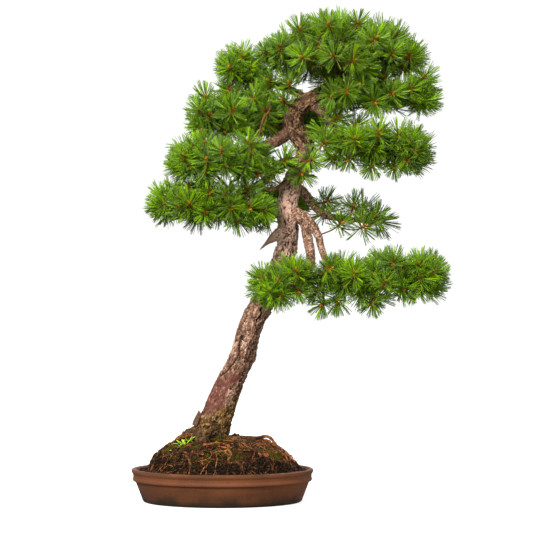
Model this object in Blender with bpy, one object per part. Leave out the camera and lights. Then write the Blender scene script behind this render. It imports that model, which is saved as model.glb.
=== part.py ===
"""A pine bonsai, trained as a slanting tree, in a round unglazed clay pan.

Frame: metres, +Z up, +X to the right and +Y to the back as the tree is meant to be seen.
The origin is the centre of the pan's flat base, which is the face that the tree stands on.

The pieces are the clay pan, a plastic screen over each drain hole, the soil with its mound,
surface roots and moss on the mound, the trunk, its branches, and the foliage pads that they carry.
Touching pieces are kept GAP apart, because each is a solid of its own.
"""

import math

import bmesh
import bpy
from mathutils import Vector, noise

# Clay pan
RIM_RADIUS = 0.1645
RIM_HEIGHT = 0.0595
BAND_FOOT = 0.0375
SHOULDER_RADIUS = 0.157
BASE_RADIUS = 0.142
WALL = 0.009
PAN_SEGMENTS = 36
DRAIN_RADIUS = 0.011
DRAIN_CIRCLE = 0.074
DRAIN_COUNT = 3
DISC_SIDES = 16

# Drain screens
SCREEN_RADIUS = 0.019
SCREEN_THICKNESS = 0.0012

# Soil
SOIL_EDGE_HEIGHT = 0.0555
MOUND_RISE = 0.0595
MOUND_RADIUS_LEFT = 0.134
MOUND_RADIUS_RIGHT = 0.143
SOIL_RINGS = 6
CLOD_HEIGHT = 0.0025
CLOD_SCALE = 45

# Clearances and mesh fineness
GAP = 0.0004
CUTTER_REACH = 0.0010
WELD = 1e-6
TRUNK_SIDES = 10
BRANCH_SIDES = 6
ROOT_SIDES = 6

# Each limb is a list of stations: x, y, z of its centre, and its radius there.
TRUNK = [
    (-0.046, 0.002, 0.070, 0.0440),
    (-0.034, 0.001, 0.098, 0.0390),
    (-0.022, 0.000, 0.124, 0.0320),
    (-0.006, 0.000, 0.164, 0.0278),
    (0.016, 0.002, 0.219, 0.0245),
    (0.034, 0.004, 0.256, 0.0225),
    (0.043, 0.006, 0.291, 0.0208),
    (0.055, 0.008, 0.327, 0.0215),
    (0.073, 0.010, 0.363, 0.0206),
    (0.090, 0.012, 0.399, 0.0198),
    (0.106, 0.013, 0.430, 0.0190),
    (0.117, 0.014, 0.463, 0.0188),
    (0.119, 0.014, 0.500, 0.0195),
    (0.118, 0.012, 0.537, 0.0190),
    (0.125, 0.009, 0.572, 0.0184),
    (0.140, 0.003, 0.602, 0.0178),
    (0.151, -0.003, 0.626, 0.0178),
    (0.145, -0.006, 0.651, 0.0188),
    (0.129, -0.008, 0.676, 0.0196),
    (0.130, -0.012, 0.702, 0.0186),
    (0.151, -0.016, 0.720, 0.0162),
    (0.176, -0.016, 0.734, 0.0140),
    (0.199, -0.014, 0.752, 0.0115),
    (0.212, -0.013, 0.776, 0.0088),
    (0.216, -0.012, 0.806, 0.0050),
]

# A branch that died and was stripped of bark, and the flares where the trunk runs into the soil.
DEAD_STUB = [
    (0.116, 0.010, 0.494, 0.0110),
    (0.098, 0.002, 0.482, 0.0095),
    (0.084, -0.004, 0.470, 0.0062),
    (0.066, -0.008, 0.453, 0.0014),
]
ROOT_FLARES = [
    [(-0.030, 0.000, 0.128, 0.018), (-0.062, -0.006, 0.112, 0.015), (-0.088, -0.010, 0.092, 0.009)],
    [(-0.020, -0.006, 0.126, 0.018), (-0.034, -0.044, 0.110, 0.014), (-0.040, -0.074, 0.090, 0.008)],
    [(-0.012, -0.004, 0.116, 0.015), (0.016, -0.026, 0.100, 0.012), (0.040, -0.040, 0.084, 0.008)],
    [(-0.016, 0.006, 0.118, 0.016), (-0.004, 0.040, 0.104, 0.013), (0.004, 0.066, 0.088, 0.008)],
]

BRANCHES = {
    "branch_low_right": [
        (0.120, 0.012, 0.521, 0.0130),
        (0.137, 0.004, 0.516, 0.0134),
        (0.153, -0.005, 0.505, 0.0118),
        (0.170, -0.014, 0.485, 0.0078),
        (0.178, -0.026, 0.458, 0.0064),
        (0.190, -0.042, 0.428, 0.0066),
        (0.212, -0.056, 0.403, 0.0068),
        (0.247, -0.062, 0.390, 0.0066),
        (0.290, -0.060, 0.388, 0.0060),
        (0.335, -0.055, 0.396, 0.0045),
        (0.368, -0.050, 0.405, 0.0030),
    ],
    "branch_low_front": [
        (0.148, -0.006, 0.502, 0.0092),
        (0.152, -0.026, 0.480, 0.0092),
        (0.158, -0.046, 0.450, 0.0086),
        (0.157, -0.066, 0.422, 0.0078),
        (0.142, -0.080, 0.400, 0.0066),
        (0.116, -0.086, 0.388, 0.0052),
        (0.086, -0.086, 0.380, 0.0034),
    ],
    "branch_small_right": [
        (0.124, 0.010, 0.573, 0.0090),
        (0.140, 0.020, 0.565, 0.0088),
        (0.155, 0.034, 0.549, 0.0080),
        (0.170, 0.048, 0.531, 0.0074),
        (0.188, 0.058, 0.518, 0.0068),
        (0.213, 0.064, 0.513, 0.0058),
        (0.246, 0.068, 0.509, 0.0046),
        (0.280, 0.070, 0.503, 0.0030),
    ],
    "branch_left_low": [
        (0.142, 0.001, 0.608, 0.0100),
        (0.118, -0.012, 0.612, 0.0098),
        (0.098, -0.020, 0.603, 0.0088),
        (0.080, -0.028, 0.581, 0.0082),
        (0.050, -0.034, 0.562, 0.0074),
        (0.016, -0.036, 0.541, 0.0064),
        (-0.020, -0.034, 0.528, 0.0054),
        (-0.060, -0.032, 0.523, 0.0042),
        (-0.100, -0.030, 0.529, 0.0030),
    ],
    "branch_left_mid": [
        (0.130, -0.006, 0.672, 0.0115),
        (0.112, -0.014, 0.660, 0.0115),
        (0.092, -0.028, 0.647, 0.0104),
        (0.068, -0.040, 0.634, 0.0092),
        (0.040, -0.048, 0.618, 0.0078),
        (0.006, -0.052, 0.606, 0.0062),
        (-0.030, -0.052, 0.600, 0.0048),
        (-0.066, -0.048, 0.602, 0.0030),
    ],
    "branch_left_upper": [
        (0.130, -0.006, 0.694, 0.0096),
        (0.109, 0.002, 0.688, 0.0076),
        (0.088, 0.010, 0.674, 0.0064),
        (0.064, 0.012, 0.664, 0.0060),
        (0.036, 0.010, 0.667, 0.0054),
        (0.002, 0.006, 0.677, 0.0044),
        (-0.034, 0.000, 0.688, 0.0030),
    ],
    "branch_top_left": [
        (0.158, -0.016, 0.722, 0.0076),
        (0.134, -0.010, 0.737, 0.0072),
        (0.106, -0.002, 0.748, 0.0064),
        (0.074, 0.006, 0.758, 0.0054),
        (0.044, 0.010, 0.768, 0.0042),
        (0.014, 0.010, 0.778, 0.0030),
    ],
    "branch_right_mid": [
        (0.152, -0.015, 0.718, 0.0094),
        (0.172, -0.018, 0.708, 0.0092),
        (0.190, -0.022, 0.690, 0.0085),
        (0.206, -0.026, 0.669, 0.0080),
        (0.228, -0.032, 0.646, 0.0070),
        (0.260, -0.036, 0.628, 0.0058),
        (0.302, -0.036, 0.618, 0.0046),
        (0.345, -0.032, 0.617, 0.0030),
    ],
    "branch_right_upper": [
        (0.184, -0.014, 0.738, 0.0080),
        (0.208, -0.020, 0.732, 0.0074),
        (0.246, -0.024, 0.727, 0.0062),
        (0.286, -0.021, 0.729, 0.0050),
        (0.326, -0.015, 0.733, 0.0038),
        (0.360, -0.010, 0.737, 0.0028),
    ],
    "branch_front": [
        (0.149, -0.004, 0.640, 0.0078),
        (0.148, -0.030, 0.633, 0.0070),
        (0.146, -0.056, 0.622, 0.0058),
        (0.142, -0.082, 0.612, 0.0042),
        (0.139, -0.102, 0.611, 0.0030),
    ],
    "branch_back_upper": [
        (0.129, -0.006, 0.684, 0.0090),
        (0.126, 0.024, 0.678, 0.0086),
        (0.122, 0.054, 0.670, 0.0070),
        (0.112, 0.086, 0.667, 0.0052),
        (0.098, 0.112, 0.671, 0.0030),
    ],
    "branch_back_lower": [
        (0.122, 0.010, 0.562, 0.0080),
        (0.122, 0.036, 0.553, 0.0076),
        (0.118, 0.066, 0.542, 0.0060),
        (0.112, 0.094, 0.536, 0.0044),
        (0.106, 0.118, 0.536, 0.0030),
    ],
    "branch_crown_left": [
        (0.206, -0.013, 0.764, 0.0074),
        (0.182, -0.014, 0.775, 0.0070),
        (0.152, -0.014, 0.783, 0.0058),
        (0.122, -0.012, 0.790, 0.0044),
        (0.096, -0.010, 0.796, 0.0030),
    ],
    "branch_crown_right": [
        (0.214, -0.013, 0.780, 0.0070),
        (0.240, -0.008, 0.786, 0.0064),
        (0.272, -0.004, 0.790, 0.0054),
        (0.306, 0.000, 0.793, 0.0042),
        (0.336, 0.000, 0.797, 0.0030),
    ],
    "branch_crown_front": [
        (0.213, -0.013, 0.770, 0.0060),
        (0.215, -0.036, 0.777, 0.0055),
        (0.219, -0.064, 0.782, 0.0045),
        (0.224, -0.092, 0.786, 0.0030),
    ],
    "branch_crown_back": [
        (0.213, -0.013, 0.772, 0.0060),
        (0.210, 0.016, 0.779, 0.0055),
        (0.206, 0.050, 0.785, 0.0045),
        (0.202, 0.085, 0.788, 0.0030),
    ],
}

# A branch that leaves another branch, and not the trunk.
PARENT_BRANCH = {"branch_low_front": "branch_low_right"}

# Each foliage pad is several round lobes grown into one: x, y, z of the centre, and half sizes.
PADS = {
    "foliage_low_right": [
        (0.222, -0.062, 0.404, 0.050, 0.062, 0.042),
        (0.294, -0.060, 0.412, 0.058, 0.068, 0.048),
        (0.366, -0.050, 0.411, 0.043, 0.050, 0.044),
        (0.274, -0.070, 0.368, 0.024, 0.028, 0.020),
    ],
    "foliage_low_front": [
        (0.126, -0.080, 0.406, 0.042, 0.042, 0.038),
        (0.088, -0.084, 0.388, 0.038, 0.042, 0.042),
    ],
    "foliage_small_right": [
        (0.204, 0.060, 0.533, 0.034, 0.048, 0.027),
        (0.244, 0.068, 0.530, 0.040, 0.052, 0.033),
        (0.284, 0.070, 0.510, 0.030, 0.036, 0.023),
    ],
    "foliage_left_low": [
        (-0.094, -0.030, 0.538, 0.043, 0.050, 0.038),
        (-0.042, -0.034, 0.536, 0.050, 0.066, 0.041),
        (0.016, -0.038, 0.528, 0.046, 0.062, 0.041),
        (0.062, -0.030, 0.520, 0.030, 0.044, 0.030),
    ],
    "foliage_left_mid": [
        (-0.062, -0.050, 0.620, 0.042, 0.052, 0.031),
        (-0.008, -0.054, 0.621, 0.050, 0.066, 0.032),
        (0.046, -0.054, 0.617, 0.040, 0.052, 0.029),
    ],
    "foliage_left_upper": [
        (-0.032, 0.000, 0.696, 0.038, 0.050, 0.038),
        (0.014, -0.004, 0.706, 0.045, 0.062, 0.045),
        (0.058, 0.000, 0.711, 0.036, 0.048, 0.035),
    ],
    "foliage_top_left": [
        (0.022, 0.010, 0.788, 0.038, 0.045, 0.028),
        (0.052, 0.014, 0.772, 0.028, 0.042, 0.018),
    ],
    "foliage_crown": [
        (0.126, -0.010, 0.813, 0.057, 0.078, 0.043),
        (0.195, -0.005, 0.828, 0.075, 0.104, 0.060),
        (0.282, 0.000, 0.821, 0.066, 0.092, 0.054),
        (0.334, 0.000, 0.806, 0.040, 0.058, 0.032),
        (0.168, -0.072, 0.801, 0.050, 0.046, 0.034),
        (0.246, -0.076, 0.802, 0.052, 0.046, 0.036),
        (0.168, 0.070, 0.802, 0.055, 0.050, 0.038),
        (0.250, 0.072, 0.802, 0.055, 0.050, 0.038),
    ],
    "foliage_right_upper": [
        (0.222, -0.040, 0.731, 0.043, 0.055, 0.028),
        (0.286, -0.024, 0.730, 0.050, 0.062, 0.032),
        (0.356, -0.012, 0.736, 0.042, 0.050, 0.032),
    ],
    "foliage_right_mid": [
        (0.218, -0.054, 0.641, 0.042, 0.050, 0.031),
        (0.270, -0.042, 0.641, 0.050, 0.066, 0.044),
        (0.336, -0.034, 0.632, 0.049, 0.058, 0.047),
    ],
    "foliage_front": [
        (0.140, -0.088, 0.618, 0.030, 0.034, 0.022),
    ],
    "foliage_back_upper": [
        (0.086, 0.104, 0.698, 0.045, 0.048, 0.036),
        (0.158, 0.100, 0.698, 0.048, 0.048, 0.036),
    ],
    "foliage_back_lower": [
        (0.086, 0.102, 0.552, 0.034, 0.044, 0.024),
        (0.132, 0.106, 0.552, 0.032, 0.044, 0.024),
    ],
}
LOBE_SEGMENTS = 10
LOBE_RINGS = 7
LOBE_UNDERSIDE = 0.85
LOBE_BUMP = 0.07

# Surface roots leave the trunk's foot and run down the mound: bearing in degrees, reach, thickness.
ROOT_CENTRE = (-0.026, 0.0)
SURFACE_ROOTS = {
    "surface_root_front_left": (-128, 0.098, 0.0042),
    "surface_root_front": (-88, 0.118, 0.0046),
    "surface_root_front_right": (-52, 0.134, 0.0040),
    "surface_root_right": (-8, 0.150, 0.0044),
    "surface_root_back_right": (38, 0.138, 0.0040),
    "surface_root_back": (88, 0.118, 0.0044),
    "surface_root_back_left": (134, 0.096, 0.0042),
    "surface_root_left": (178, 0.092, 0.0044),
}
ROOT_STATIONS = 6
ROOT_SWAY = 0.010
ROOT_START = 0.030
ARCHED_ROOT = "surface_root_right"
ARCH_LIFT = 0.006

# Moss cushions on the mound: x, y, and half sizes along, across and up.
MOSS = {
    "moss_front": (0.024, -0.104, 0.022, 0.014, 0.006),
    "moss_front_right": (0.092, -0.064, 0.018, 0.013, 0.006),
    "moss_left": (-0.090, -0.040, 0.018, 0.014, 0.006),
    "moss_back": (-0.062, 0.072, 0.024, 0.016, 0.006),
    "moss_back_right": (0.056, 0.096, 0.020, 0.014, 0.006),
}


def material(name, colour, roughness):
    """A plain non-metal finish, its colour an sRGB triple from 0 to 1."""
    made = bpy.data.materials.new(name)
    made.use_nodes = True
    shader = made.node_tree.nodes["Principled BSDF"]
    shader.inputs["Base Color"].default_value = (*[c**2.2 for c in colour], 1.0)
    shader.inputs["Roughness"].default_value = roughness
    shader.inputs["Metallic"].default_value = 0.0
    return made


def add_object(name, mesh, finish=None):
    obj = bpy.data.objects.new(name, mesh)
    bpy.context.scene.collection.objects.link(obj)
    if finish:
        mesh.materials.clear()
        mesh.materials.append(finish)
    return obj


def mesh_from(name, bm):
    mesh = bpy.data.meshes.new(name)
    bm.to_mesh(mesh)
    bm.free()
    return mesh


def smooth(obj, angle=50):
    obj.data.shade_smooth()
    obj.data.set_sharp_from_angle(angle=math.radians(angle))


def combine(target, tools, operation):
    """Joins the tools to the target or cuts them from it, then removes the tools."""
    for tool in tools:
        boolean = target.modifiers.new(tool.name, "BOOLEAN")
        boolean.operation = operation
        boolean.object = tool
    graph = bpy.context.evaluated_depsgraph_get()
    finished = bpy.data.meshes.new_from_object(target.evaluated_get(graph))
    target.modifiers.clear()
    target.data = finished
    for tool in tools:
        bpy.data.objects.remove(tool)
    return target


def keep_largest(obj):
    """Removes the crumbs that a cut can leave behind, so that the piece stays one solid."""
    bm = bmesh.new()
    bm.from_mesh(obj.data)
    unseen = set(bm.faces)
    shells = []
    while unseen:
        shell = [unseen.pop()]
        for face in shell:
            linked = {other for edge in face.edges for other in edge.link_faces} & unseen
            unseen -= linked
            shell.extend(linked)
        shells.append(shell)
    largest = max(shells, key=lambda shell: sum(face.calc_area() for face in shell))
    crumbs = [face for shell in shells if shell is not largest for face in shell]
    bmesh.ops.delete(bm, geom=crumbs, context="FACES")
    bm.to_mesh(obj.data)
    bm.free()


def lengthened(stations, reach):
    """The same limb with both ends moved outwards, so that a cutter passes the piece it clears."""
    first, second = Vector(stations[0][:3]), Vector(stations[1][:3])
    last, before = Vector(stations[-1][:3]), Vector(stations[-2][:3])
    start = first + (first - second).normalized() * reach
    end = last + (last - before).normalized() * reach
    return [(*start, stations[0][3]), *stations[1:-1], (*end, stations[-1][3])]


def limb(name, stations, sides, clearance=0.0):
    """A tapering round limb along a smooth curve. With a clearance it is the cutter that makes room for it."""
    if clearance:
        stations = lengthened(stations, CUTTER_REACH)
    curve = bpy.data.curves.new(name, "CURVE")
    curve.dimensions = "3D"
    curve.bevel_depth = 1.0
    curve.bevel_resolution = (sides - 4) // 2
    curve.resolution_u = 1
    curve.use_fill_caps = True
    spline = curve.splines.new("BEZIER")
    spline.bezier_points.add(len(stations) - 1)
    for point, (x, y, z, radius) in zip(spline.bezier_points, stations):
        point.co = (x, y, z)
        point.radius = radius + clearance
        point.handle_left_type = point.handle_right_type = "AUTO"
    guide = bpy.data.objects.new(name, curve)
    bpy.context.scene.collection.objects.link(guide)
    graph = bpy.context.evaluated_depsgraph_get()
    mesh = bpy.data.meshes.new_from_object(guide.evaluated_get(graph))
    bpy.data.objects.remove(guide)
    bm = bmesh.new()
    bm.from_mesh(mesh)
    bmesh.ops.remove_doubles(bm, verts=bm.verts, dist=WELD)
    bmesh.ops.recalc_face_normals(bm, faces=bm.faces)
    bm.to_mesh(mesh)
    bm.free()
    mesh.name = name
    return add_object(name, mesh)


def turned(name, profile, segments):
    """A solid of revolution about Z from (radius, height) points, which start and end on the axis."""
    bm = bmesh.new()
    verts = [bm.verts.new((radius, 0.0, height)) for radius, height in profile]
    edges = [bm.edges.new(pair) for pair in zip(verts, verts[1:])]
    bmesh.ops.spin(
        bm,
        geom=verts + edges,
        cent=(0, 0, 0),
        axis=(0, 0, 1),
        angle=2 * math.pi,
        steps=segments,
    )
    bmesh.ops.remove_doubles(bm, verts=bm.verts, dist=WELD)
    bmesh.ops.recalc_face_normals(bm, faces=bm.faces)
    return add_object(name, mesh_from(name, bm))


def drain_centres():
    for i in range(DRAIN_COUNT):
        turn = math.radians(30 + 360 * i / DRAIN_COUNT)
        yield DRAIN_CIRCLE * math.cos(turn), DRAIN_CIRCLE * math.sin(turn)


def upright_disc(name, centre, radius, low, high):
    bm = bmesh.new()
    bmesh.ops.create_cone(
        bm,
        cap_ends=True,
        segments=DISC_SIDES,
        radius1=radius,
        radius2=radius,
        depth=high - low,
    )
    bmesh.ops.translate(bm, verts=bm.verts, vec=(*centre, (low + high) / 2))
    return add_object(name, mesh_from(name, bm))


def make_pan(finish):
    """The pan: a flat base, a flared wall, and a rim band with a bead along each edge."""
    profile = [
        (0.0, 0.0),
        (BASE_RADIUS - 0.005, 0.0),
        (BASE_RADIUS - 0.001, 0.0014),
        (BASE_RADIUS + 0.0018, 0.0055),
        (SHOULDER_RADIUS - 0.001, BAND_FOOT - 0.003),
        (SHOULDER_RADIUS, BAND_FOOT - 0.0005),
        (RIM_RADIUS - 0.0035, BAND_FOOT + 0.0008),
        (RIM_RADIUS - 0.0024, BAND_FOOT + 0.0035),
        (RIM_RADIUS - 0.0032, BAND_FOOT + 0.0075),
        (RIM_RADIUS - 0.0026, BAND_FOOT + 0.0130),
        (RIM_RADIUS, RIM_HEIGHT - 0.0040),
        (RIM_RADIUS - 0.0022, RIM_HEIGHT),
        (RIM_RADIUS - 0.0070, RIM_HEIGHT),
        (RIM_RADIUS - WALL, RIM_HEIGHT - 0.0020),
        (SHOULDER_RADIUS - WALL, BAND_FOOT),
        (BASE_RADIUS - WALL, WALL + 0.0020),
        (BASE_RADIUS - WALL - 0.004, WALL),
        (0.0, WALL),
    ]
    pan = turned("pot", profile, PAN_SEGMENTS)
    drills = [
        upright_disc(f"drill_{i}", centre, DRAIN_RADIUS, -WALL, 2 * WALL)
        for i, centre in enumerate(drain_centres())
    ]
    combine(pan, drills, "DIFFERENCE")
    pan.data.materials.clear()
    pan.data.materials.append(finish)
    smooth(pan, 30)
    return pan


def make_screens(finish):
    for i, centre in enumerate(drain_centres(), start=1):
        low = WALL + GAP
        screen = upright_disc(f"drain_screen_{i}", centre, SCREEN_RADIUS, low, low + SCREEN_THICKNESS)
        screen.data.materials.append(finish)


def soil_height(x, y):
    """Height of the smooth mound at a place: steep and round on the left, a longer slope on the right."""
    distance = math.hypot(x, y)
    rightness = 0.5 + 0.5 * x / max(distance, 1e-6)
    reach = MOUND_RADIUS_LEFT + (MOUND_RADIUS_RIGHT - MOUND_RADIUS_LEFT) * rightness
    fall = 0.6 + 0.4 * rightness
    share = min(distance / reach, 1.0)
    return SOIL_EDGE_HEIGHT + MOUND_RISE * (1 - share**3.1) ** fall


def soil_tilt(x, y):
    """The mound's upward normal at a place."""
    step = 0.002
    rise_x = (soil_height(x + step, y) - soil_height(x - step, y)) / (2 * step)
    rise_y = (soil_height(x, y + step) - soil_height(x, y - step)) / (2 * step)
    return Vector((-rise_x, -rise_y, 1)).normalized()


def make_soil(finish, cutters):
    """Soil that fills the pan and stands above its rim as a mound, with room for all that is set in it."""
    flare = (RIM_RADIUS - SHOULDER_RADIUS) / (RIM_HEIGHT - 0.0020 - BAND_FOOT)
    edge = SHOULDER_RADIUS - WALL + flare * (SOIL_EDGE_HEIGHT - BAND_FOOT) - 2 * GAP
    profile = [
        (0.0, WALL + GAP),
        (BASE_RADIUS - WALL - 0.004 - GAP, WALL + GAP),
        (BASE_RADIUS - WALL - GAP, WALL + 0.0020 + GAP),
        (SHOULDER_RADIUS - WALL - GAP, BAND_FOOT),
        (edge, SOIL_EDGE_HEIGHT),
    ]
    profile += [(edge * (1 - (i / SOIL_RINGS) ** 1.2), 1.0) for i in range(1, SOIL_RINGS + 1)]
    soil = turned("soil", profile, PAN_SEGMENTS)
    for vertex in soil.data.vertices:
        x, y, z = vertex.co
        if z > 0.5:
            clod = noise.noise(Vector((x, y, 0)) * CLOD_SCALE) * CLOD_HEIGHT
            vertex.co.z = soil_height(x, y) + clod * min(1.0, (edge - math.hypot(x, y)) / 0.02)
    combine(soil, cutters, "DIFFERENCE")
    soil.data.materials.clear()
    soil.data.materials.append(finish)
    smooth(soil)
    return soil


def make_trunk(finish):
    """The trunk with its dead stub and root flares, grown as one piece."""
    parts = [DEAD_STUB, *ROOT_FLARES]
    trunk = limb("trunk", TRUNK, TRUNK_SIDES)
    tools = [limb(f"trunk_part_{i}", stations, BRANCH_SIDES) for i, stations in enumerate(parts)]
    combine(trunk, tools, "UNION")
    trunk.data.materials.append(finish)
    smooth(trunk)
    return trunk


def trunk_cutters(names):
    """Cutters that leave GAP round the trunk's own shapes, the ones that its neighbours may meet."""
    shapes = {"stem": (TRUNK, TRUNK_SIDES)}
    shapes |= {f"flare_{i}": (flare, BRANCH_SIDES) for i, flare in enumerate(ROOT_FLARES)}
    return [limb(f"{name}_cutter", *shapes[name], clearance=GAP) for name in names]


FLARE_NAMES = [f"flare_{i}" for i in range(len(ROOT_FLARES))]


def make_branches(finish):
    for name, stations in BRANCHES.items():
        branch = limb(name, stations, BRANCH_SIDES)
        parent = PARENT_BRANCH.get(name)
        if parent:
            cutters = [limb("parent_cutter", BRANCHES[parent], BRANCH_SIDES, clearance=GAP)]
        else:
            cutters = trunk_cutters(["stem"])
        combine(branch, cutters, "DIFFERENCE")
        keep_largest(branch)
        branch.data.materials.append(finish)
        smooth(branch)


def lobe(name, x, y, z, half_x, half_y, half_z):
    """One round, slightly bumpy clump of foliage with a flatter underside."""
    bm = bmesh.new()
    bmesh.ops.create_uvsphere(bm, u_segments=LOBE_SEGMENTS, v_segments=LOBE_RINGS, radius=1.0)
    seed = Vector((x, y, z)) * 100
    for vertex in bm.verts:
        vertex.co *= 1 + LOBE_BUMP * noise.noise(vertex.co * 1.7 + seed)
        depth = half_z * (LOBE_UNDERSIDE if vertex.co.z < 0 else 1.0)
        vertex.co = (x + vertex.co.x * half_x, y + vertex.co.y * half_y, z + vertex.co.z * depth)
    return add_object(name, mesh_from(name, bm))


def make_pads(finish):
    """Foliage pads, each with a groove or tunnel where a limb runs through it."""
    for name, lobes in PADS.items():
        pad = lobe(name, *lobes[0])
        others = [lobe(f"{name}_lobe_{i}", *sizes) for i, sizes in enumerate(lobes[1:])]
        combine(pad, others, "UNION")
        limbs = [limb(f"{twig}_cutter", BRANCHES[twig], BRANCH_SIDES, clearance=GAP) for twig in BRANCHES]
        combine(pad, limbs + trunk_cutters(["stem"]), "DIFFERENCE")
        keep_largest(pad)
        pad.data.materials.append(finish)
        smooth(pad)


def root_stations(name):
    """A surface root's line from under the trunk's foot to the foot of the mound."""
    bearing, reach, thickness = SURFACE_ROOTS[name]
    direction = math.radians(bearing)
    stations = []
    for i in range(ROOT_STATIONS):
        along = i / (ROOT_STATIONS - 1)
        distance = ROOT_START + (reach - ROOT_START) * along
        sway = ROOT_SWAY * math.sin(5.0 * along + bearing) * along
        x = ROOT_CENTRE[0] + distance * math.cos(direction) - sway * math.sin(direction)
        y = ROOT_CENTRE[1] + distance * math.sin(direction) + sway * math.cos(direction)
        radius = thickness * (1 - 0.6 * along)
        lift = ARCH_LIFT * math.sin(math.pi * along) if name == ARCHED_ROOT else 0.0
        stations.append((x, y, soil_height(x, y) + 0.4 * radius + lift, radius))
    return stations


def make_surface_roots(finish):
    for name in SURFACE_ROOTS:
        root = limb(name, root_stations(name), ROOT_SIDES)
        combine(root, trunk_cutters(["stem", *FLARE_NAMES]), "DIFFERENCE")
        keep_largest(root)
        root.data.materials.append(finish)
        smooth(root)


def moss_cushion(name, clearance=0.0):
    """A low round cushion lying on the mound, tilted to its slope."""
    x, y, along, across, up = MOSS[name]
    bm = bmesh.new()
    bmesh.ops.create_uvsphere(bm, u_segments=8, v_segments=5, radius=1.0)
    tilt = Vector((0, 0, 1)).rotation_difference(soil_tilt(x, y))
    centre = Vector((x, y, soil_height(x, y)))
    sizes = [size + clearance for size in (along, across, up)]
    for vertex in bm.verts:
        local = Vector(c * size for c, size in zip(vertex.co, sizes))
        vertex.co = centre + tilt @ local
    return add_object(name if not clearance else f"{name}_cutter", mesh_from(name, bm))


def make_moss(finish):
    for name in MOSS:
        cushion = moss_cushion(name)
        cushion.data.materials.append(finish)
        smooth(cushion)


def soil_cutters():
    """All that sits in the soil, each a little larger than the piece itself."""
    cutters = trunk_cutters(["stem", *FLARE_NAMES])
    cutters += [limb(f"{root}_cutter", root_stations(root), ROOT_SIDES, clearance=GAP) for root in SURFACE_ROOTS]
    cutters += [moss_cushion(name, clearance=GAP) for name in MOSS]
    top = WALL + GAP + SCREEN_THICKNESS + GAP
    cutters += [
        upright_disc(f"screen_cutter_{i}", centre, SCREEN_RADIUS + GAP, 0.0, top)
        for i, centre in enumerate(drain_centres())
    ]
    return cutters


def build():
    for leftover in list(bpy.data.objects):
        bpy.data.objects.remove(leftover)
    clay = material("unglazed_clay", (0.47, 0.29, 0.21), 0.85)
    plastic = material("screen_plastic", (0.08, 0.08, 0.08), 0.55)
    earth = material("soil", (0.22, 0.15, 0.08), 0.95)
    moss = material("moss", (0.30, 0.38, 0.10), 0.95)
    bark = material("bark", (0.53, 0.38, 0.30), 0.90)
    root_bark = material("root_bark", (0.46, 0.31, 0.18), 0.85)
    needles = material("needles", (0.34, 0.47, 0.14), 0.60)
    make_pan(clay)
    make_screens(plastic)
    make_soil(earth, soil_cutters())
    make_moss(moss)
    make_surface_roots(root_bark)
    make_trunk(bark)
    make_branches(bark)
    make_pads(needles)


build()
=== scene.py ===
"""Dresses a pine bonsai and its clay pan, laid out as an add-on and run as a script.

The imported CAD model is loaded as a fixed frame. Each operator models one group of pieces in its place:
the pan, the screens over its drain holes, the soil, the roots, the moss, the trunk, the branches, the
twigs with their buds, and the needles. The last one sets the stage.
"""

import contextlib
import functools
import itertools
import math

import bpy
import numpy as np
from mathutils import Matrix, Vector
from mathutils.bvhtree import BVHTree
from mathutils.kdtree import KDTree


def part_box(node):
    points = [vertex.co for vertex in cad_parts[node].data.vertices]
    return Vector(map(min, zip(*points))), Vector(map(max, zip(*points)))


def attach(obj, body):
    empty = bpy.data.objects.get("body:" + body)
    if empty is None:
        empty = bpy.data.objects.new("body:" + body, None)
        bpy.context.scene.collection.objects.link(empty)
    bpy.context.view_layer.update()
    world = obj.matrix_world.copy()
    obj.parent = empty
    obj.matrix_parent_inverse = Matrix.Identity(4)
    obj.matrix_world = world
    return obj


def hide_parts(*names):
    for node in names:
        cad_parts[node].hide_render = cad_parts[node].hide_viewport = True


bl_info = {
    "name": "Pine Bonsai",
    "version": (1, 0, 0),
    "blender": (4, 5, 0),
    "location": "View3D > Sidebar > Bonsai",
    "description": "Models a pine bonsai in a round clay pan over its CAD frame",
    "category": "Object",
}

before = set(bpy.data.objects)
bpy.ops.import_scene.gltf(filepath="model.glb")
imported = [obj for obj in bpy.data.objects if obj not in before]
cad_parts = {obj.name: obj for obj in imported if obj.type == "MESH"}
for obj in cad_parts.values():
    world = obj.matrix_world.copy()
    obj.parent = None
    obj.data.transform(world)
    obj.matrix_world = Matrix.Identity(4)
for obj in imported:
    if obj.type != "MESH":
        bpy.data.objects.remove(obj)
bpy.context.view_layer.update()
MM = 0.001


def in_metres(value):
    """Millimetres as metres, for a number or for rows and named rows of them."""
    if isinstance(value, dict):
        return {name: in_metres(rows) for name, rows in value.items()}
    if isinstance(value, (list, tuple)):
        return type(value)(in_metres(item) for item in value)
    return value / 1000


# Pan, in metres. The CAD pan gives its radius and height.
PAN_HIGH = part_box("pot")[1]
RIM_RADIUS = PAN_HIGH[0]
RIM_HEIGHT = PAN_HIGH[2]
BAND_FOOT = 0.0375
SHOULDER_RADIUS = 0.157
BASE_RADIUS = 0.142
WALL = 0.009
DRAIN_RADIUS = 0.011
DRAIN_CIRCLE = 0.074
DRAIN_COUNT = 3

# Mound, the same formula as the CAD soil.
SOIL_EDGE_HEIGHT = 0.0555
MOUND_RISE = 0.0595
MOUND_RADIUS_LEFT = 0.134
MOUND_RADIUS_RIGHT = 0.143
SOIL_RADIUS = 0.151

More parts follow.
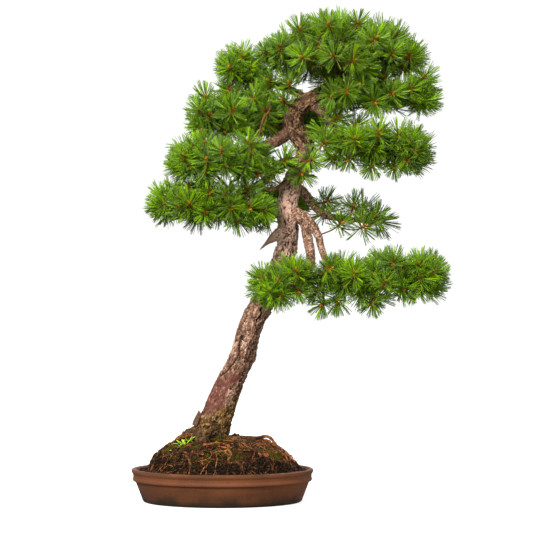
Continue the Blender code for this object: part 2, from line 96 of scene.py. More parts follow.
# The tree's limbs, the same stations as the CAD wood: x, y, z and radius.
TRUNK = in_metres([
    (-46, 2, 70, 44), (-34, 1, 98, 39), (-22, 0, 124, 32), (-6, 0, 164, 27.8), (16, 2, 219, 24.5),
    (34, 4, 256, 22.5), (43, 6, 291, 20.8), (55, 8, 327, 21.5), (73, 10, 363, 20.6), (90, 12, 399, 19.8),
    (106, 13, 430, 19), (117, 14, 463, 18.8), (119, 14, 500, 19.5), (118, 12, 537, 19), (125, 9, 572, 18.4),
    (140, 3, 602, 17.8), (151, -3, 626, 17.8), (145, -6, 651, 18.8), (129, -8, 676, 19.6),
    (130, -12, 702, 18.6), (151, -16, 720, 16.2), (176, -16, 734, 14), (199, -14, 752, 11.5),
    (212, -13, 776, 8.8), (216, -12, 806, 5),
])
DEAD_STUB = in_metres([(116, 10, 494, 11), (98, 2, 482, 9.5), (84, -4, 470, 6.2), (66, -8, 453, 1.4)])
ROOT_FLARES = in_metres([
    [(-30, 0, 128, 18), (-62, -6, 112, 15), (-88, -10, 92, 9)],
    [(-20, -6, 126, 18), (-34, -44, 110, 14), (-40, -74, 90, 8)],
    [(-12, -4, 116, 15), (16, -26, 100, 12), (40, -40, 84, 8)],
    [(-16, 6, 118, 16), (-4, 40, 104, 13), (4, 66, 88, 8)],
])
BRANCHES = in_metres({
    "branch_low_right": [(120, 12, 521, 13), (137, 4, 516, 13.4), (153, -5, 505, 11.8),
        (170, -14, 485, 7.8), (178, -26, 458, 6.4), (190, -42, 428, 6.6), (212, -56, 403, 6.8),
        (247, -62, 390, 6.6), (290, -60, 388, 6), (335, -55, 396, 4.5), (368, -50, 405, 3)],
    "branch_low_front": [(148, -6, 502, 9.2), (152, -26, 480, 9.2), (158, -46, 450, 8.6),
        (157, -66, 422, 7.8), (142, -80, 400, 6.6), (116, -86, 388, 5.2), (86, -86, 380, 3.4)],
    "branch_small_right": [(124, 10, 573, 9), (140, 20, 565, 8.8), (155, 34, 549, 8), (170, 48, 531, 7.4),
        (188, 58, 518, 6.8), (213, 64, 513, 5.8), (246, 68, 509, 4.6), (280, 70, 503, 3)],
    "branch_left_low": [(142, 1, 608, 10), (118, -12, 612, 9.8), (98, -20, 603, 8.8), (80, -28, 581, 8.2),
        (50, -34, 562, 7.4), (16, -36, 541, 6.4), (-20, -34, 528, 5.4), (-60, -32, 523, 4.2),
        (-100, -30, 529, 3)],
    "branch_left_mid": [(130, -6, 672, 11.5), (112, -14, 660, 11.5), (92, -28, 647, 10.4),
        (68, -40, 634, 9.2), (40, -48, 618, 7.8), (6, -52, 606, 6.2), (-30, -52, 600, 4.8),
        (-66, -48, 602, 3)],
    "branch_left_upper": [(130, -6, 694, 9.6), (109, 2, 688, 7.6), (88, 10, 674, 6.4), (64, 12, 664, 6),
        (36, 10, 667, 5.4), (2, 6, 677, 4.4), (-34, 0, 688, 3)],
    "branch_top_left": [(158, -16, 722, 7.6), (134, -10, 737, 7.2), (106, -2, 748, 6.4), (74, 6, 758, 5.4),
        (44, 10, 768, 4.2), (14, 10, 778, 3)],
    "branch_right_mid": [(152, -15, 718, 9.4), (172, -18, 708, 9.2), (190, -22, 690, 8.5),
        (206, -26, 669, 8), (228, -32, 646, 7), (260, -36, 628, 5.8), (302, -36, 618, 4.6),
        (345, -32, 617, 3)],
    "branch_right_upper": [(184, -14, 738, 8), (208, -20, 732, 7.4), (246, -24, 727, 6.2),
        (286, -21, 729, 5), (326, -15, 733, 3.8), (360, -10, 737, 2.8)],
    "branch_front": [(149, -4, 640, 7.8), (148, -30, 633, 7), (146, -56, 622, 5.8), (142, -82, 612, 4.2),
        (139, -102, 611, 3)],
    "branch_back_upper": [(129, -6, 684, 9), (126, 24, 678, 8.6), (122, 54, 670, 7), (112, 86, 667, 5.2),
        (98, 112, 671, 3)],
    "branch_back_lower": [(122, 10, 562, 8), (122, 36, 553, 7.6), (118, 66, 542, 6), (112, 94, 536, 4.4),
        (106, 118, 536, 3)],
    "branch_crown_left": [(206, -13, 764, 7.4), (182, -14, 775, 7), (152, -14, 783, 5.8),
        (122, -12, 790, 4.4), (96, -10, 796, 3)],
    "branch_crown_right": [(214, -13, 780, 7), (240, -8, 786, 6.4), (272, -4, 790, 5.4), (306, 0, 793, 4.2),
        (336, 0, 797, 3)],
    "branch_crown_front": [(213, -13, 770, 6), (215, -36, 777, 5.5), (219, -64, 782, 4.5),
        (224, -92, 786, 3)],
    "branch_crown_back": [(213, -13, 772, 6), (210, 16, 779, 5.5), (206, 50, 785, 4.5), (202, 85, 788, 3)],
})
# Two old roots: one arches over the mound's right shoulder, and one bends like a knee on the left.
ARCHED_ROOT = in_metres([
    (22, -6, 115, 3.4), (42, -12, 116, 3.2), (62, -15, 115.5, 3), (80, -16, 118, 2.8), (87, -16, 115, 2.6),
    (94, -17, 106, 2.3), (103, -18, 96, 2.1), (117, -20, 85, 1.9), (131, -22, 72, 1.5),
])
KNEE_ROOT = in_metres([
    (-40, -16, 116, 4.6), (-56, -22, 120, 4.8), (-70, -26, 119, 4.6), (-80, -28, 114, 4.2),
    (-84, -26, 105, 3.6), (-88, -22, 94, 2.8),
])
# Bare twigs that curl in front of the left limbs and under the left pads.
CURLED_TWIGS = in_metres([
    [(10, -44, 566, 2.6), (-1, -58, 577, 2.3), (-12, -66, 588, 2), (-26, -70, 594, 1.7),
        (-44, -72, 597, 1.4), (-58, -72, 590, 1.2)],
    [(40, -36, 556, 3.4), (20, -48, 562, 3), (14, -52, 570, 2.6), (28, -52, 582, 2.2), (34, -56, 592, 1.6)],
    [(62, -42, 634, 2.2), (68, -60, 664, 2), (74, -66, 688, 1.8), (86, -64, 706, 1.6), (82, -60, 718, 1.3)],
    [(116, -10, 582, 3), (101, -24, 568, 2.6), (86, -34, 560, 2.3), (73, -36, 563, 2), (69, -36, 573, 1.8),
        (78, -37, 581, 1.6), (89, -36, 577, 1.5), (88, -35, 568, 1.3)],
    [(112, -12, 596, 2.4), (96, -30, 592, 2), (84, -36, 600, 1.6), (74, -40, 596, 1.4),
        (64, -44, 604, 1.2)],
])
NEEDLE_MAP = "OFBake"
GOLDEN_ANGLE = 2.39996
TRUNK_VOXEL = 1.45 * MM
BRANCH_VOXEL = 1.15 * MM

# Dry cracks in the trunk's front, darkened with painted shade: x and z of their points. The last one is the
# gap behind the loose plate.
CRACKS = in_metres([
    [(34, 298), (29, 280), (30, 267), (22, 254), (9, 237), (-5, 227)],
    [(45, 353), (40, 343)],
    [(69, 347), (71, 337), (63, 327)],
    [(36, 208), (34, 196)],
    [(-38, 160), (-42, 150), (-47, 141)],
])
# Knobs on the trunk: place, half width and rise.
KNOBS = in_metres([
    (21, -6, 306, 13, 3.4), (61, 0, 262, 9, 3), (97, -4, 440, 12, 2.8), (136, -8, 470, 10, 2.4),
    (100, 18, 520, 12, 3), (-60, -24, 118, 9, 5), (-30, -40, 122, 9, 4.5), (2, -24, 122, 8, 4),
])

# Shoots on the pads' front: x and z of their buds.
FRONT_SHOOTS = in_metres({
    "foliage_crown": [(139, 846), (190, 852), (243, 858), (273, 828), (303, 805), (196, 796), (234, 787),
        (142, 793), (104, 814), (326, 778), (334, 802), (184, 757), (262, 770), (290, 762)],
    "foliage_top_left": [(50, 782), (12, 780), (36, 800), (86, 757), (120, 752), (78, 806)],
    "foliage_left_upper": [(56, 724), (109, 721), (41, 677), (-22, 695), (-46, 704), (11, 739), (76, 704),
        (-36, 672), (4, 668), (80, 742), (-30, 728), (20, 705)],
    "foliage_left_mid": [(0, 629), (8, 602), (-56, 604), (-66, 620), (47, 644), (89, 598), (-30, 642),
        (-50, 636), (-26, 612), (36, 594), (-30, 590)],
    "foliage_left_low": [(-57, 534), (17, 528), (-78, 547), (-21, 555), (50, 527), (29, 506), (-30, 520),
        (74, 524), (-60, 562), (-74, 528), (8, 552), (46, 562), (-34, 574)],
    "foliage_front": [(112, 614), (142, 591), (160, 612)],
    "foliage_right_upper": [(246, 748), (222, 733), (273, 716), (338, 741), (362, 763), (304, 732),
        (196, 728)],
    "foliage_right_mid": [(237, 650), (225, 614), (267, 602), (330, 612), (279, 662), (199, 617),
        (315, 656), (344, 630), (184, 644), (308, 602), (240, 676), (334, 646), (206, 690), (176, 664)],
    "foliage_small_right": [(237, 531), (279, 513), (214, 501), (190, 543), (256, 496)],
    "foliage_low_front": [(100, 398), (132, 416), (86, 380), (72, 404), (136, 380), (106, 372)],
    "foliage_low_right": [(168, 377), (178, 357), (193, 421), (205, 361), (247, 374), (266, 357),
        (354, 404), (347, 386), (376, 414), (288, 396), (234, 413), (303, 433), (322, 384), (350, 428)],
})
# Places where wood and sky show between the pads, so no other shoots stand there: x, z and radius.
CLEAR_PLACES = in_metres([
    (12, 580, 10), (98, 575, 26), (94, 545, 24), (85, 662, 28), (120, 690, 30), (128, 735, 22),
    (160, 640, 30), (170, 700, 28),
])
# Painted light on the needles of some pads: above zero paler, below zero darker as painted shade.
PAD_PAINTED_LIGHT = {"foliage_crown": -0.11, "foliage_small_right": -0.18, "foliage_left_mid": 0.05}
# How many times farther apart the shoots stand in thin pads.
THIN_PADS = {"foliage_small_right": 2.1, "foliage_front": 9.0, "foliage_crown": 1.12,
    "foliage_low_right": 1.04}

# Camera: level, in front and a little above the pan's height, with a long lens.
CAMERA_PLACE = (0.0795, -4.77, 0.424)
CAMERA_LENS_MM = 178.3


# ---------------------------------------------------------------- colours and nodes


def linear(hex_colour):
    """An sRGB hex colour as linear red, green and blue."""
    parts = (int(hex_colour[i : i + 2], 16) / 255 for i in (1, 3, 5))
    return tuple(c / 12.92 if c <= 0.04045 else ((c + 0.055) / 1.055) ** 2.4 for c in parts)


def fill(node, inputs):
    """Fills inputs. A value may be a hex colour, another node's output, or a node for its first output."""
    for socket, value in inputs.items():
        if isinstance(value, bpy.types.Node):
            value = next(output for output in value.outputs if output.enabled)
        if isinstance(value, bpy.types.NodeSocket):
            node.id_data.links.new(value, node.inputs[socket])
        else:
            node.inputs[socket].default_value = (*linear(value), 1) if isinstance(value, str) else value


def add_node(tree, kind, inputs=(), stops=(), **settings):
    """Adds a node with its settings and links. A ramp's stop is a place, a colour and its brightness."""
    node = tree.nodes.new("ShaderNode" + kind)
    for name, value in settings.items():
        setattr(node, name, value)
    fill(node, dict(inputs))
    for i, stop in enumerate(stops):
        place, colour, bright = (*stop, 1.0)[:3]
        colour = linear(colour) if isinstance(colour, str) else colour
        points = node.color_ramp.elements
        point = points[i] if i < len(points) else points.new(place)
        point.position = place
        point.color = (*(part * bright for part in colour), 1.0)
    return node


def new_material(name, **sockets):
    """A material, the function that adds its nodes, and its shader with the given plain values."""
    made = bpy.data.materials.new(name)
    made.use_nodes = True
    shader = made.node_tree.nodes["Principled BSDF"]
    fill(shader, {socket.replace("_", " "): value for socket, value in sockets.items()})
    return made, functools.partial(add_node, made.node_tree), shader


# ---------------------------------------------------------------- noise on arrays


def lattice_random(cells, seed):
    """A repeatable number from 0 to 1 for each whole-numbered cell."""
    mixed = cells[..., 0] * 73856093 ^ cells[..., 1] * 19349663 ^ cells[..., 2] * 83492791 ^ seed * 40503
    mixed = mixed & 0xFFFFFFFF
    mixed = (mixed ^ (mixed >> 15)) * 739981 & 0xFFFFFFFF
    mixed = (mixed ^ (mixed >> 13)) * 374761 & 0xFFFFFFFF
    return ((mixed ^ (mixed >> 16)) & 0xFFFF) / 0xFFFF


def value_noise(points, seed):
    """Smooth noise from -1 to 1."""
    base = np.floor(points).astype(np.int64)
    part = points - base
    part = part * part * (3 - 2 * part)
    total = np.zeros(len(points))
    for corner in itertools.product((0, 1), repeat=3):
        share = np.where(corner, part, 1 - part).prod(axis=1)
        total += share * lattice_random(base + np.array(corner), seed)
    return total * 2 - 1


def fractal(points, seed, octaves=3):
    """Value noise with finer and finer layers."""
    return sum(value_noise(points * 2**i, seed + i) / 2**i for i in range(octaves)) / 1.75


def plates(points, seed):
    """Cell noise: distance from the cell's edge, the cell's own number, and the way from its centre."""
    base = np.floor(points).astype(np.int64)
    nearest = np.full(len(points), 9.0)
    second = np.full(len(points), 9.0)
    number = np.zeros(len(points))
    way = np.zeros(points.shape)
    for offset in itertools.product((-1, 0, 1), repeat=3):
        cell = base + np.array(offset)
        centre = cell + np.stack([0.1 + 0.8 * lattice_random(cell, seed + k) for k in range(3)], axis=1)
        distance = np.linalg.norm(points - centre, axis=1)
        closer = distance < nearest
        second = np.where(closer, nearest, np.minimum(second, distance))
        number = np.where(closer, lattice_random(cell, seed + 7), number)
        way = np.where(closer[:, None], points - centre, way)
        nearest = np.where(closer, distance, nearest)
    return second - nearest, number, way


def ease(values, low, high):
    """0 below low, 1 above high, and smooth between."""
    share = np.clip((values - low) / (high - low), 0, 1)
    return share * share * (3 - 2 * share)


# ---------------------------------------------------------------- meshes and pieces


def select_only(piece):
    """Selects one piece and makes it active."""
    bpy.ops.object.select_all(action="DESELECT")
    piece.select_set(True)
    bpy.context.view_layer.objects.active = piece


def primitive(kind, **settings):
    """Adds one of Blender's primitives with nothing else selected."""
    bpy.ops.object.select_all(action="DESELECT")
    getattr(bpy.ops.mesh, f"primitive_{kind}_add")(**settings)
    return bpy.context.object


@contextlib.contextmanager
def edit_mode(action="SELECT"):
    """Edit mode with everything selected, or nothing, and object mode again afterwards."""
    bpy.ops.object.mode_set(mode="EDIT")
    bpy.ops.mesh.select_all(action=action)
    yield
    bpy.ops.object.mode_set(mode="OBJECT")


def nodes_named(start):
    """The frame's nodes whose names start so, in order."""
    return sorted(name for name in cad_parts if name.startswith(start))


def nearest_finder(places):
    """A search tree over places."""
    tree = KDTree(len(places))
    for i, place in enumerate(places):
        tree.insert(place, i)
    tree.balance()
    return tree


def co_of(piece):
    """The places of a piece's vertices."""
    values = np.empty(len(piece.data.vertices) * 3)
    piece.data.vertices.foreach_get("co", values)
    return values.reshape(-1, 3)


def normals_of(piece):
    """The normals of a piece's vertices."""
    values = np.empty(len(piece.data.vertices) * 3)
    piece.data.vertices.foreach_get("normal", values)
    return values.reshape(-1, 3)


def set_co(piece, points):
    """Moves a piece's vertices to new places."""
    piece.data.vertices.foreach_set("co", np.ascontiguousarray(points, dtype=np.float32).ravel())
    piece.data.update()


def set_attribute(piece, name, values):
    """Writes one number per vertex for the material to read."""
    layer = piece.data.attributes.new(name, "FLOAT", "POINT")
    layer.data.foreach_set("value", np.asarray(values, dtype=np.float32))


def apply_modifier(piece, kind, **settings):
    """Adds a modifier with its settings and applies it."""
    select_only(piece)
    bpy.ops.object.modifier_add(type=kind)
    modifier = piece.modifiers[-1]
    for name, value in settings.items():
        setattr(modifier, name, value)
    bpy.ops.object.modifier_apply(modifier=modifier.name)


def hand_over(piece, name, material, nodes=(), smooth=True):
    """Names a finished piece, gives it its material, and ties it to the frame."""
    piece.name = name
    piece.data.name = name
    piece.data.materials.clear()
    piece.data.materials.append(material)
    if smooth:
        piece.data.shade_smooth()
    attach(piece, "root")
    if nodes:
        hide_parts(*nodes)
    return piece


def close_seams():
    """Merges the active mesh's doubled vertices and turns its faces outwards."""
    with edit_mode():
        bpy.ops.mesh.remove_doubles(threshold=0.01 * MM)
        bpy.ops.mesh.normals_make_consistent(inside=False)


def lathe(profile, steps):
    """Turns a solid from (radius, height) points: one vertex is extruded along them, then spun round Z."""
    turned = primitive("plane", size=MM)
    with edit_mode():
        bpy.ops.mesh.merge(type="CENTER")
        bpy.ops.transform.translate(value=(profile[0][0], 0, profile[0][1]))
        for (r0, z0), (r1, z1) in zip(profile, profile[1:]):
            bpy.ops.mesh.extrude_vertices_move(TRANSFORM_OT_translate={"value": (r1 - r0, 0, z1 - z0)})
        bpy.ops.mesh.select_all(action="SELECT")
        bpy.ops.mesh.spin(steps=steps, angle=math.tau, center=(0, 0, 0), axis=(0, 0, 1))
    close_seams()
    return turned


def rounded(corners, arc=3):
    """A profile whose inner corners, given as (radius, height, rounding), become short arcs."""
    points = [corners[0][:2]]
    for before, here, after in zip(corners, corners[1:], corners[2:]):
        spot = Vector(here[:2])
        to_before = (Vector(before[:2]) - spot).normalized() * here[2]
        to_after = (Vector(after[:2]) - spot).normalized() * here[2]
        for i in range(arc + 1):
            t = i / arc
            points.append(tuple(spot + to_before * (1 - t) ** 2 + to_after * t**2))
    return points + [corners[-1][:2]]


def sweep(paths, sides=8, steps=3):
    """Round tapering rods along smooth curves, one for each path of (x, y, z, radius) points."""
    bpy.ops.object.select_all(action="DESELECT")
    bpy.ops.curve.primitive_bezier_curve_add()
    rods = bpy.context.object
    curve = rods.data
    curve.splines.clear()
    curve.bevel_depth = 1.0
    curve.bevel_resolution = (sides - 4) // 2
    curve.resolution_u = steps
    curve.use_fill_caps = True
    for path in paths:
        spline = curve.splines.new("BEZIER")
        spline.bezier_points.add(len(path) - 1)
        for point, (x, y, z, radius) in zip(spline.bezier_points, path):
            point.co = (x, y, z)
            point.radius = radius
            point.handle_left_type = point.handle_right_type = "AUTO"
    select_only(rods)
    bpy.ops.object.convert(target="MESH")
    rods = bpy.context.object
    close_seams()
    return rods


def template(piece):
    """A small modelled shape as arrays of points and triangles, and the shape itself is removed."""
    mesh = piece.data
    mesh.calc_loop_triangles()
    points = co_of(piece)
    triangles = np.array([t.vertices[:] for t in mesh.loop_triangles])
    bpy.data.objects.remove(piece)
    return points, triangles


def copies(name, points, triangles):
    """One mesh from many copies of a template: points is (copies, corners, 3)."""
    count, corners = points.shape[:2]
    faces = (triangles[None] + np.arange(count)[:, None, None] * corners).reshape(-1, 3)
    mesh = bpy.data.meshes.new(name)
    mesh.vertices.add(count * corners)
    mesh.vertices.foreach_set("co", points.astype(np.float32).ravel())
    mesh.loops.add(faces.size)
    mesh.loops.foreach_set("vertex_index", faces.astype(np.int32).ravel())
    mesh.polygons.add(len(faces))
    mesh.polygons.foreach_set("loop_start", np.arange(len(faces), dtype=np.int32) * 3)
    mesh.update(calc_edges=True)
    made = bpy.data.objects.new(name, mesh)
    bpy.context.scene.collection.objects.link(made)
    return made


def unit(vectors):
    """Vectors at length 1."""
    return vectors / np.maximum(np.linalg.norm(vectors, axis=-1, keepdims=True), 1e-12)


def side_axes(directions):
    """Two axes square to each direction."""
    helper = np.where(np.abs(directions[:, 2:]) < 0.9, [[0.0, 0.0, 1.0]], [[1.0, 0.0, 0.0]])
    first = unit(np.cross(directions, helper))
    return first, np.cross(directions, first)


def placed(shape, places, directions, widths, lengths):
    """Copies of a shape that points along +Z, each turned to a direction and scaled across and along."""
    first, second = side_axes(directions)
    across = shape[None, :, 0, None] * first[:, None] + shape[None, :, 1, None] * second[:, None]
    along = shape[None, :, 2, None] * directions[:, None]
    return places[:, None] + across * widths[:, None, None] + along * lengths[:, None, None]


# ---------------------------------------------------------------- shapes that pieces share


def soil_height(x, y):
    """Height of the smooth mound at a place."""
    distance = np.hypot(x, y)
    rightness = 0.5 + 0.5 * x / np.maximum(distance, 1e-6)
    reach = MOUND_RADIUS_LEFT + (MOUND_RADIUS_RIGHT - MOUND_RADIUS_LEFT) * rightness
    share = np.minimum(distance / reach, 1.0)
    return SOIL_EDGE_HEIGHT + MOUND_RISE * (1 - share**3.1) ** (0.6 + 0.4 * rightness)


def soil_bumps(x, y):
    """The mound's clods, which fade out towards the pan's wall."""
    spots = np.stack([x, y, np.zeros_like(x)], axis=1)
    inner = ease(RIM_RADIUS - WALL - np.hypot(x, y), 0.004, 0.030)
    clods = fractal(spots * 70, 11, 4) * 4.5 * MM
    return inner * clods + fractal(spots * 420, 15, 2) * 1.0 * MM


def ground(x, y):
    """Height of the mound with its clods."""
    x, y = np.asarray(x, dtype=float), np.asarray(y, dtype=float)
    return soil_height(x, y) + soil_bumps(x.ravel(), y.ravel()).reshape(x.shape)


def limb_samples(stations, step=2 * MM):
    """Close points along a limb: place, direction, two side axes, distance along it and radius."""
    knots = np.array([stations[0], *stations, stations[-1]])
    rows = []
    for a, b, c, d in zip(knots, knots[1:], knots[2:], knots[3:]):
        count = max(2, int(np.linalg.norm(c[:3] - b[:3]) / step))
        for t in np.arange(count) / count:
            rows.append(0.5 * (2 * b + (c - a) * t + (2 * a - 5 * b + 4 * c - d) * t**2
                + (3 * b - a - 3 * c + d) * t**3))
    rows = np.array([*rows, knots[-1]])
    places = rows[:, :3]
    ahead = unit(np.gradient(places, axis=0))
    side = np.empty_like(ahead)
    side[0] = side_axes(ahead[:1])[0][0]
    for i in range(1, len(side)):
        side[i] = unit(side[i - 1] - ahead[i] * np.dot(side[i - 1], ahead[i]))
    along = np.concatenate([[0], np.cumsum(np.linalg.norm(np.diff(places, axis=0), axis=1))])
    return {"place": places, "ahead": ahead, "side": side, "other": np.cross(ahead, side), "along": along,
        "radius": rows[:, 3]}


def joined_samples(limbs):
    """The samples of several limbs as one set, each limb's distance moved on so that no bark repeats."""
    parts = [limb_samples(stations) for stations in limbs]
    for i, part in enumerate(parts):
        part["along"] = part["along"] + 0.7 * i
        part["limb"] = np.full(len(part["along"]), i)
    return {key: np.concatenate([part[key] for part in parts]) for key in parts[0]}


def unrolled(points, samples):
    """Each point in its limb's own straightened space, with the limb's number, radius and place there."""
    tree = nearest_finder(samples["place"])
    near = np.array([tree.find(point)[1] for point in points])
    offset = points - samples["place"][near]
    local = np.stack([(offset * samples["side"][near]).sum(axis=1),
        (offset * samples["other"][near]).sum(axis=1),
        samples["along"][near] + (offset * samples["ahead"][near]).sum(axis=1)], axis=1)
    return local, near


def flaking_bark(piece, limbs, width, length, depth, seed):
    """Bark for smooth wood: flakes in three sizes that overlap like shingles, with broken grooves between.

    It gives each point's place, normal and nearest sample, and its bark's height, groove and paleness. The
    groove mark is dark bark in the grooves, with painted shade there and in the low places.
    """
    points, normals = co_of(piece), normals_of(piece)
    samples = joined_samples(limbs)
    local, near = unrolled(points, samples)
    grain = np.array([width, width, length])
    warp = np.stack([fractal(local / grain, seed + 20 + k, 3) for k in range(3)], axis=1)
    height = 0.16 * fractal(local / (2.2 * MM), seed + 60, 3)
    worn = ease(fractal(local / (grain * [3.0, 3.0, 1.8]), seed + 70, 2), 0.0, 0.35)
    tone = 0.5 + height + 0.22 * fractal(local / (grain * [2.5, 2.5, 1.6]), seed + 80, 2)
    crevice = np.zeros(len(points))
    for level, (scale, share) in enumerate(((1.0, 0.46), (0.52, 0.34), (0.27, 0.24))):
        edge, number, way = plates(local / (grain * scale) + warp * 0.5 / scale**0.7, seed + 40 * level)
        broken = ease(fractal(local / (grain * scale * 1.7), seed + 50 + level, 2), -0.40, 0.25)
        groove = (1 - ease(edge, 0.0, 0.16 + 0.05 * level)) * broken * (1 - 0.7 * worn)
        height = height + share * (number - 0.5 + 1.1 * way[:, 2] - 1.2 * groove)
        tone = tone + (0.30 + 0.08 * level) * (number - 0.5) + 0.24 * way[:, 2]
        crevice = np.maximum(crevice, groove * (0.95 - 0.17 * level))
    # Crevice: the grooves' dark bark deepened with painted shade, and painted shade in the low places.
    return {"points": points, "normals": normals, "near": near, "samples": samples,
        "height": height * depth, "crevice": np.clip(crevice + 0.5 * ease(-height, 0.30, 0.80), 0, 1),
        "plate": np.clip(tone, 0, 1)}


def distance_to_line(points, line):
    """Distance from 2-D points to a line of joined stretches."""
    best = np.full(len(points), 9.0)
    for start, end in zip(np.array(line), np.array(line)[1:]):
        way = end - start
        share = np.clip(((points - start) @ way) / (way @ way), 0, 1)
        best = np.minimum(best, np.linalg.norm(points - start - share[:, None] * way, axis=1))
    return best


# ---------------------------------------------------------------- materials


def unglazed_clay():
    """Brown stoneware, thrown and fired without glaze: dull and faintly streaked, with painted shade at its
    foot, on its lower body and at the top of its rim.
    """
    made, add, shader = new_material("unglazed_brown_clay", Roughness=0.72, IOR=1.5, Specular_IOR_Level=0.3)
    settings = bpy.context.scene.bonsai
    place = add("TexCoord").outputs["Object"]
    kiln = add("TexNoise", {"Vector": place, "Scale": 11.0, "Detail": 5.0})
    throwing = add("Mapping", {"Vector": place, "Scale": (6.0, 6.0, 900.0)})
    lines = add("TexNoise", {"Vector": throwing, "Scale": 1.0, "Detail": 2.0})
    grit = add("TexNoise", {"Vector": place, "Scale": 900.0, "Detail": 2.0})
    fired = add("Math", {0: lines, 1: 0.55}, operation="MULTIPLY")
    blend = add("Math", {0: kiln, 1: 0.95, 2: fired}, operation="MULTIPLY_ADD")
    clay = settings.clay_colour
    tone = add("ValToRGB", {"Fac": blend}, stops=[(0.42, clay, 0.56), (0.80, clay), (1.02, clay, 1.30)])
    specks = add("ValToRGB", {"Fac": grit}, stops=[(0.30, "#8f8078"), (0.48, (1, 1, 1))])
    speckled = add("Mix", {"Factor": 0.8, "A": tone, "B": specks}, data_type="RGBA", blend_type="MULTIPLY")
    height = add("SeparateXYZ", {"Vector": place})
    # Painted shade: the foot darkens to near black.
    foot = add("MapRange", {"Value": height.outputs["Z"], "From Min": 0.001, "From Max": 0.011,
        "To Min": 0.96, "To Max": 0.0})
    with_foot_shade = add("Mix", {"Factor": foot, "A": speckled, "B": "#140c07"}, data_type="RGBA")
    # Painted shade darkens the lower body and the top of the rim, in blotches.
    patches = add("TexNoise", {"Vector": place, "Scale": 26.0, "Detail": 5.0})
    patchy = add("MapRange", {"Value": patches, "From Min": 0.40, "From Max": 0.62, "To Min": 0.30,
        "To Max": 1.0})
    low = add("MapRange", {"Value": height.outputs["Z"], "From Min": 0.006, "From Max": 0.031,
        "To Min": 0.97, "To Max": 0.0})
    high = add("MapRange", {"Value": height.outputs["Z"], "From Min": RIM_HEIGHT - 0.006,
        "From Max": RIM_HEIGHT, "To Max": 0.75})
    shade_low_and_rim = add("Math", {0: low, 1: high}, operation="MAXIMUM")
    blotchy = add("Math", {0: shade_low_and_rim, 1: patchy}, operation="MULTIPLY")
    with_painted_shade = add("Mix", {"Factor": blotchy, "A": with_foot_shade, "B": "#2c2212"}, data_type="RGBA")
    bump = add("Bump", {"Height": lines, "Strength": 0.25, "Distance": 0.3 * MM})
    grain = add("Bump", {"Height": grit, "Strength": 0.35, "Distance": 0.3 * MM, "Normal": bump})
    fill(shader, {"Base Color": with_painted_shade, "Normal": grain})
    return made


def woven_screen():
    """Black polyethylene mesh, extruded and welded: waxy and slightly shiny, dusted with soil."""
    made, add, shader = new_material("black_polyethylene_mesh", Roughness=0.45, IOR=1.51)
    place = add("TexCoord").outputs["Object"]
    dust = add("TexNoise", {"Vector": place, "Scale": 300.0, "Detail": 3.0})
    tone = add("ValToRGB", {"Fac": dust}, stops=[(0.45, "#101112"), (0.75, "#4a382a")])
    fill(shader, {"Base Color": tone})
    return made


def potting_soil():
    """Moist clay granules, bark humus and root fibre: dark brown, dull, with paler dry crumbs and algae."""
    made, add, shader = new_material("moist_bonsai_soil", Roughness=0.92, IOR=1.4, Specular_IOR_Level=0.15)
    place = add("TexCoord").outputs["Object"]
    crumbs = add("TexVoronoi", {"Vector": place, "Scale": 380.0})
    blotchy = add("TexNoise", {"Vector": place, "Scale": 45.0, "Detail": 5.0})
    blend = add("Math", {0: crumbs.outputs["Color"], 1: 0.55, 2: blotchy}, operation="MULTIPLY_ADD")
    soil = bpy.context.scene.bonsai.soil_colour
    tone = add("ValToRGB", {"Fac": blend}, stops=[(0.35, soil, 0.22), (0.62, soil, 0.75), (0.85, soil),
        (1.0, soil, 2.2)])
    green = add("TexNoise", {"Vector": place, "Scale": 28.0, "Detail": 3.0})
    algae = add("MapRange", {"Value": green, "From Min": 0.58, "From Max": 0.70, "To Max": 0.55})
    mixed = add("Mix", {"Factor": algae, "A": tone, "B": "#4c4c14"}, data_type="RGBA")
    bump = add("Bump", {"Height": crumbs.outputs["Distance"], "Strength": 0.7, "Distance": 1.0 * MM})
    fill(shader, {"Base Color": mixed, "Normal": bump})
    return made


def granule_clay():
    """Baked clay and lava granules, broken and sieved: dull crumbs from black-brown to tan."""
    made, add, shader = new_material("baked_clay_granules", Roughness=0.9, IOR=1.45, Specular_IOR_Level=0.2)
    own = add("Attribute", attribute_name="tone")
    soil = bpy.context.scene.bonsai.soil_colour
    tone = add("ValToRGB", {"Fac": own.outputs["Fac"]},
        stops=[(0.0, soil, 0.30), (0.35, soil), (0.70, "#422914"), (1.0, "#684022")])
    fill(shader, {"Base Color": tone})
    return made


def living_moss():
    """Living cushion moss: soft, without gloss, brown-green in its depth and yellow-green at its tips."""
    made, add, shader = new_material("living_cushion_moss", Roughness=0.85, IOR=1.4, Specular_IOR_Level=0.15)
    tip = add("Attribute", attribute_name="tone")
    moss = bpy.context.scene.bonsai.moss_colour
    tone = add("ValToRGB", {"Fac": tip.outputs["Fac"]},
        stops=[(0.0, "#1e1806"), (0.5, moss, 0.45), (1.0, moss, 1.25)])
    fill(shader, {"Base Color": tone})
    return made


def fresh_leaf():
    """Young leaves of a small weed: thin, bright and slightly waxy."""
    made, add, shader = new_material("young_green_leaf", Roughness=0.45, IOR=1.42)
    place = add("TexCoord").outputs["Object"]
    veins = add("TexNoise", {"Vector": place, "Scale": 160.0, "Detail": 2.0})
    tone = add("ValToRGB", {"Fac": veins}, stops=[(0.35, "#8ab80e"), (0.65, "#cdea3c")])
    fill(shader, {"Base Color": tone})
    return made


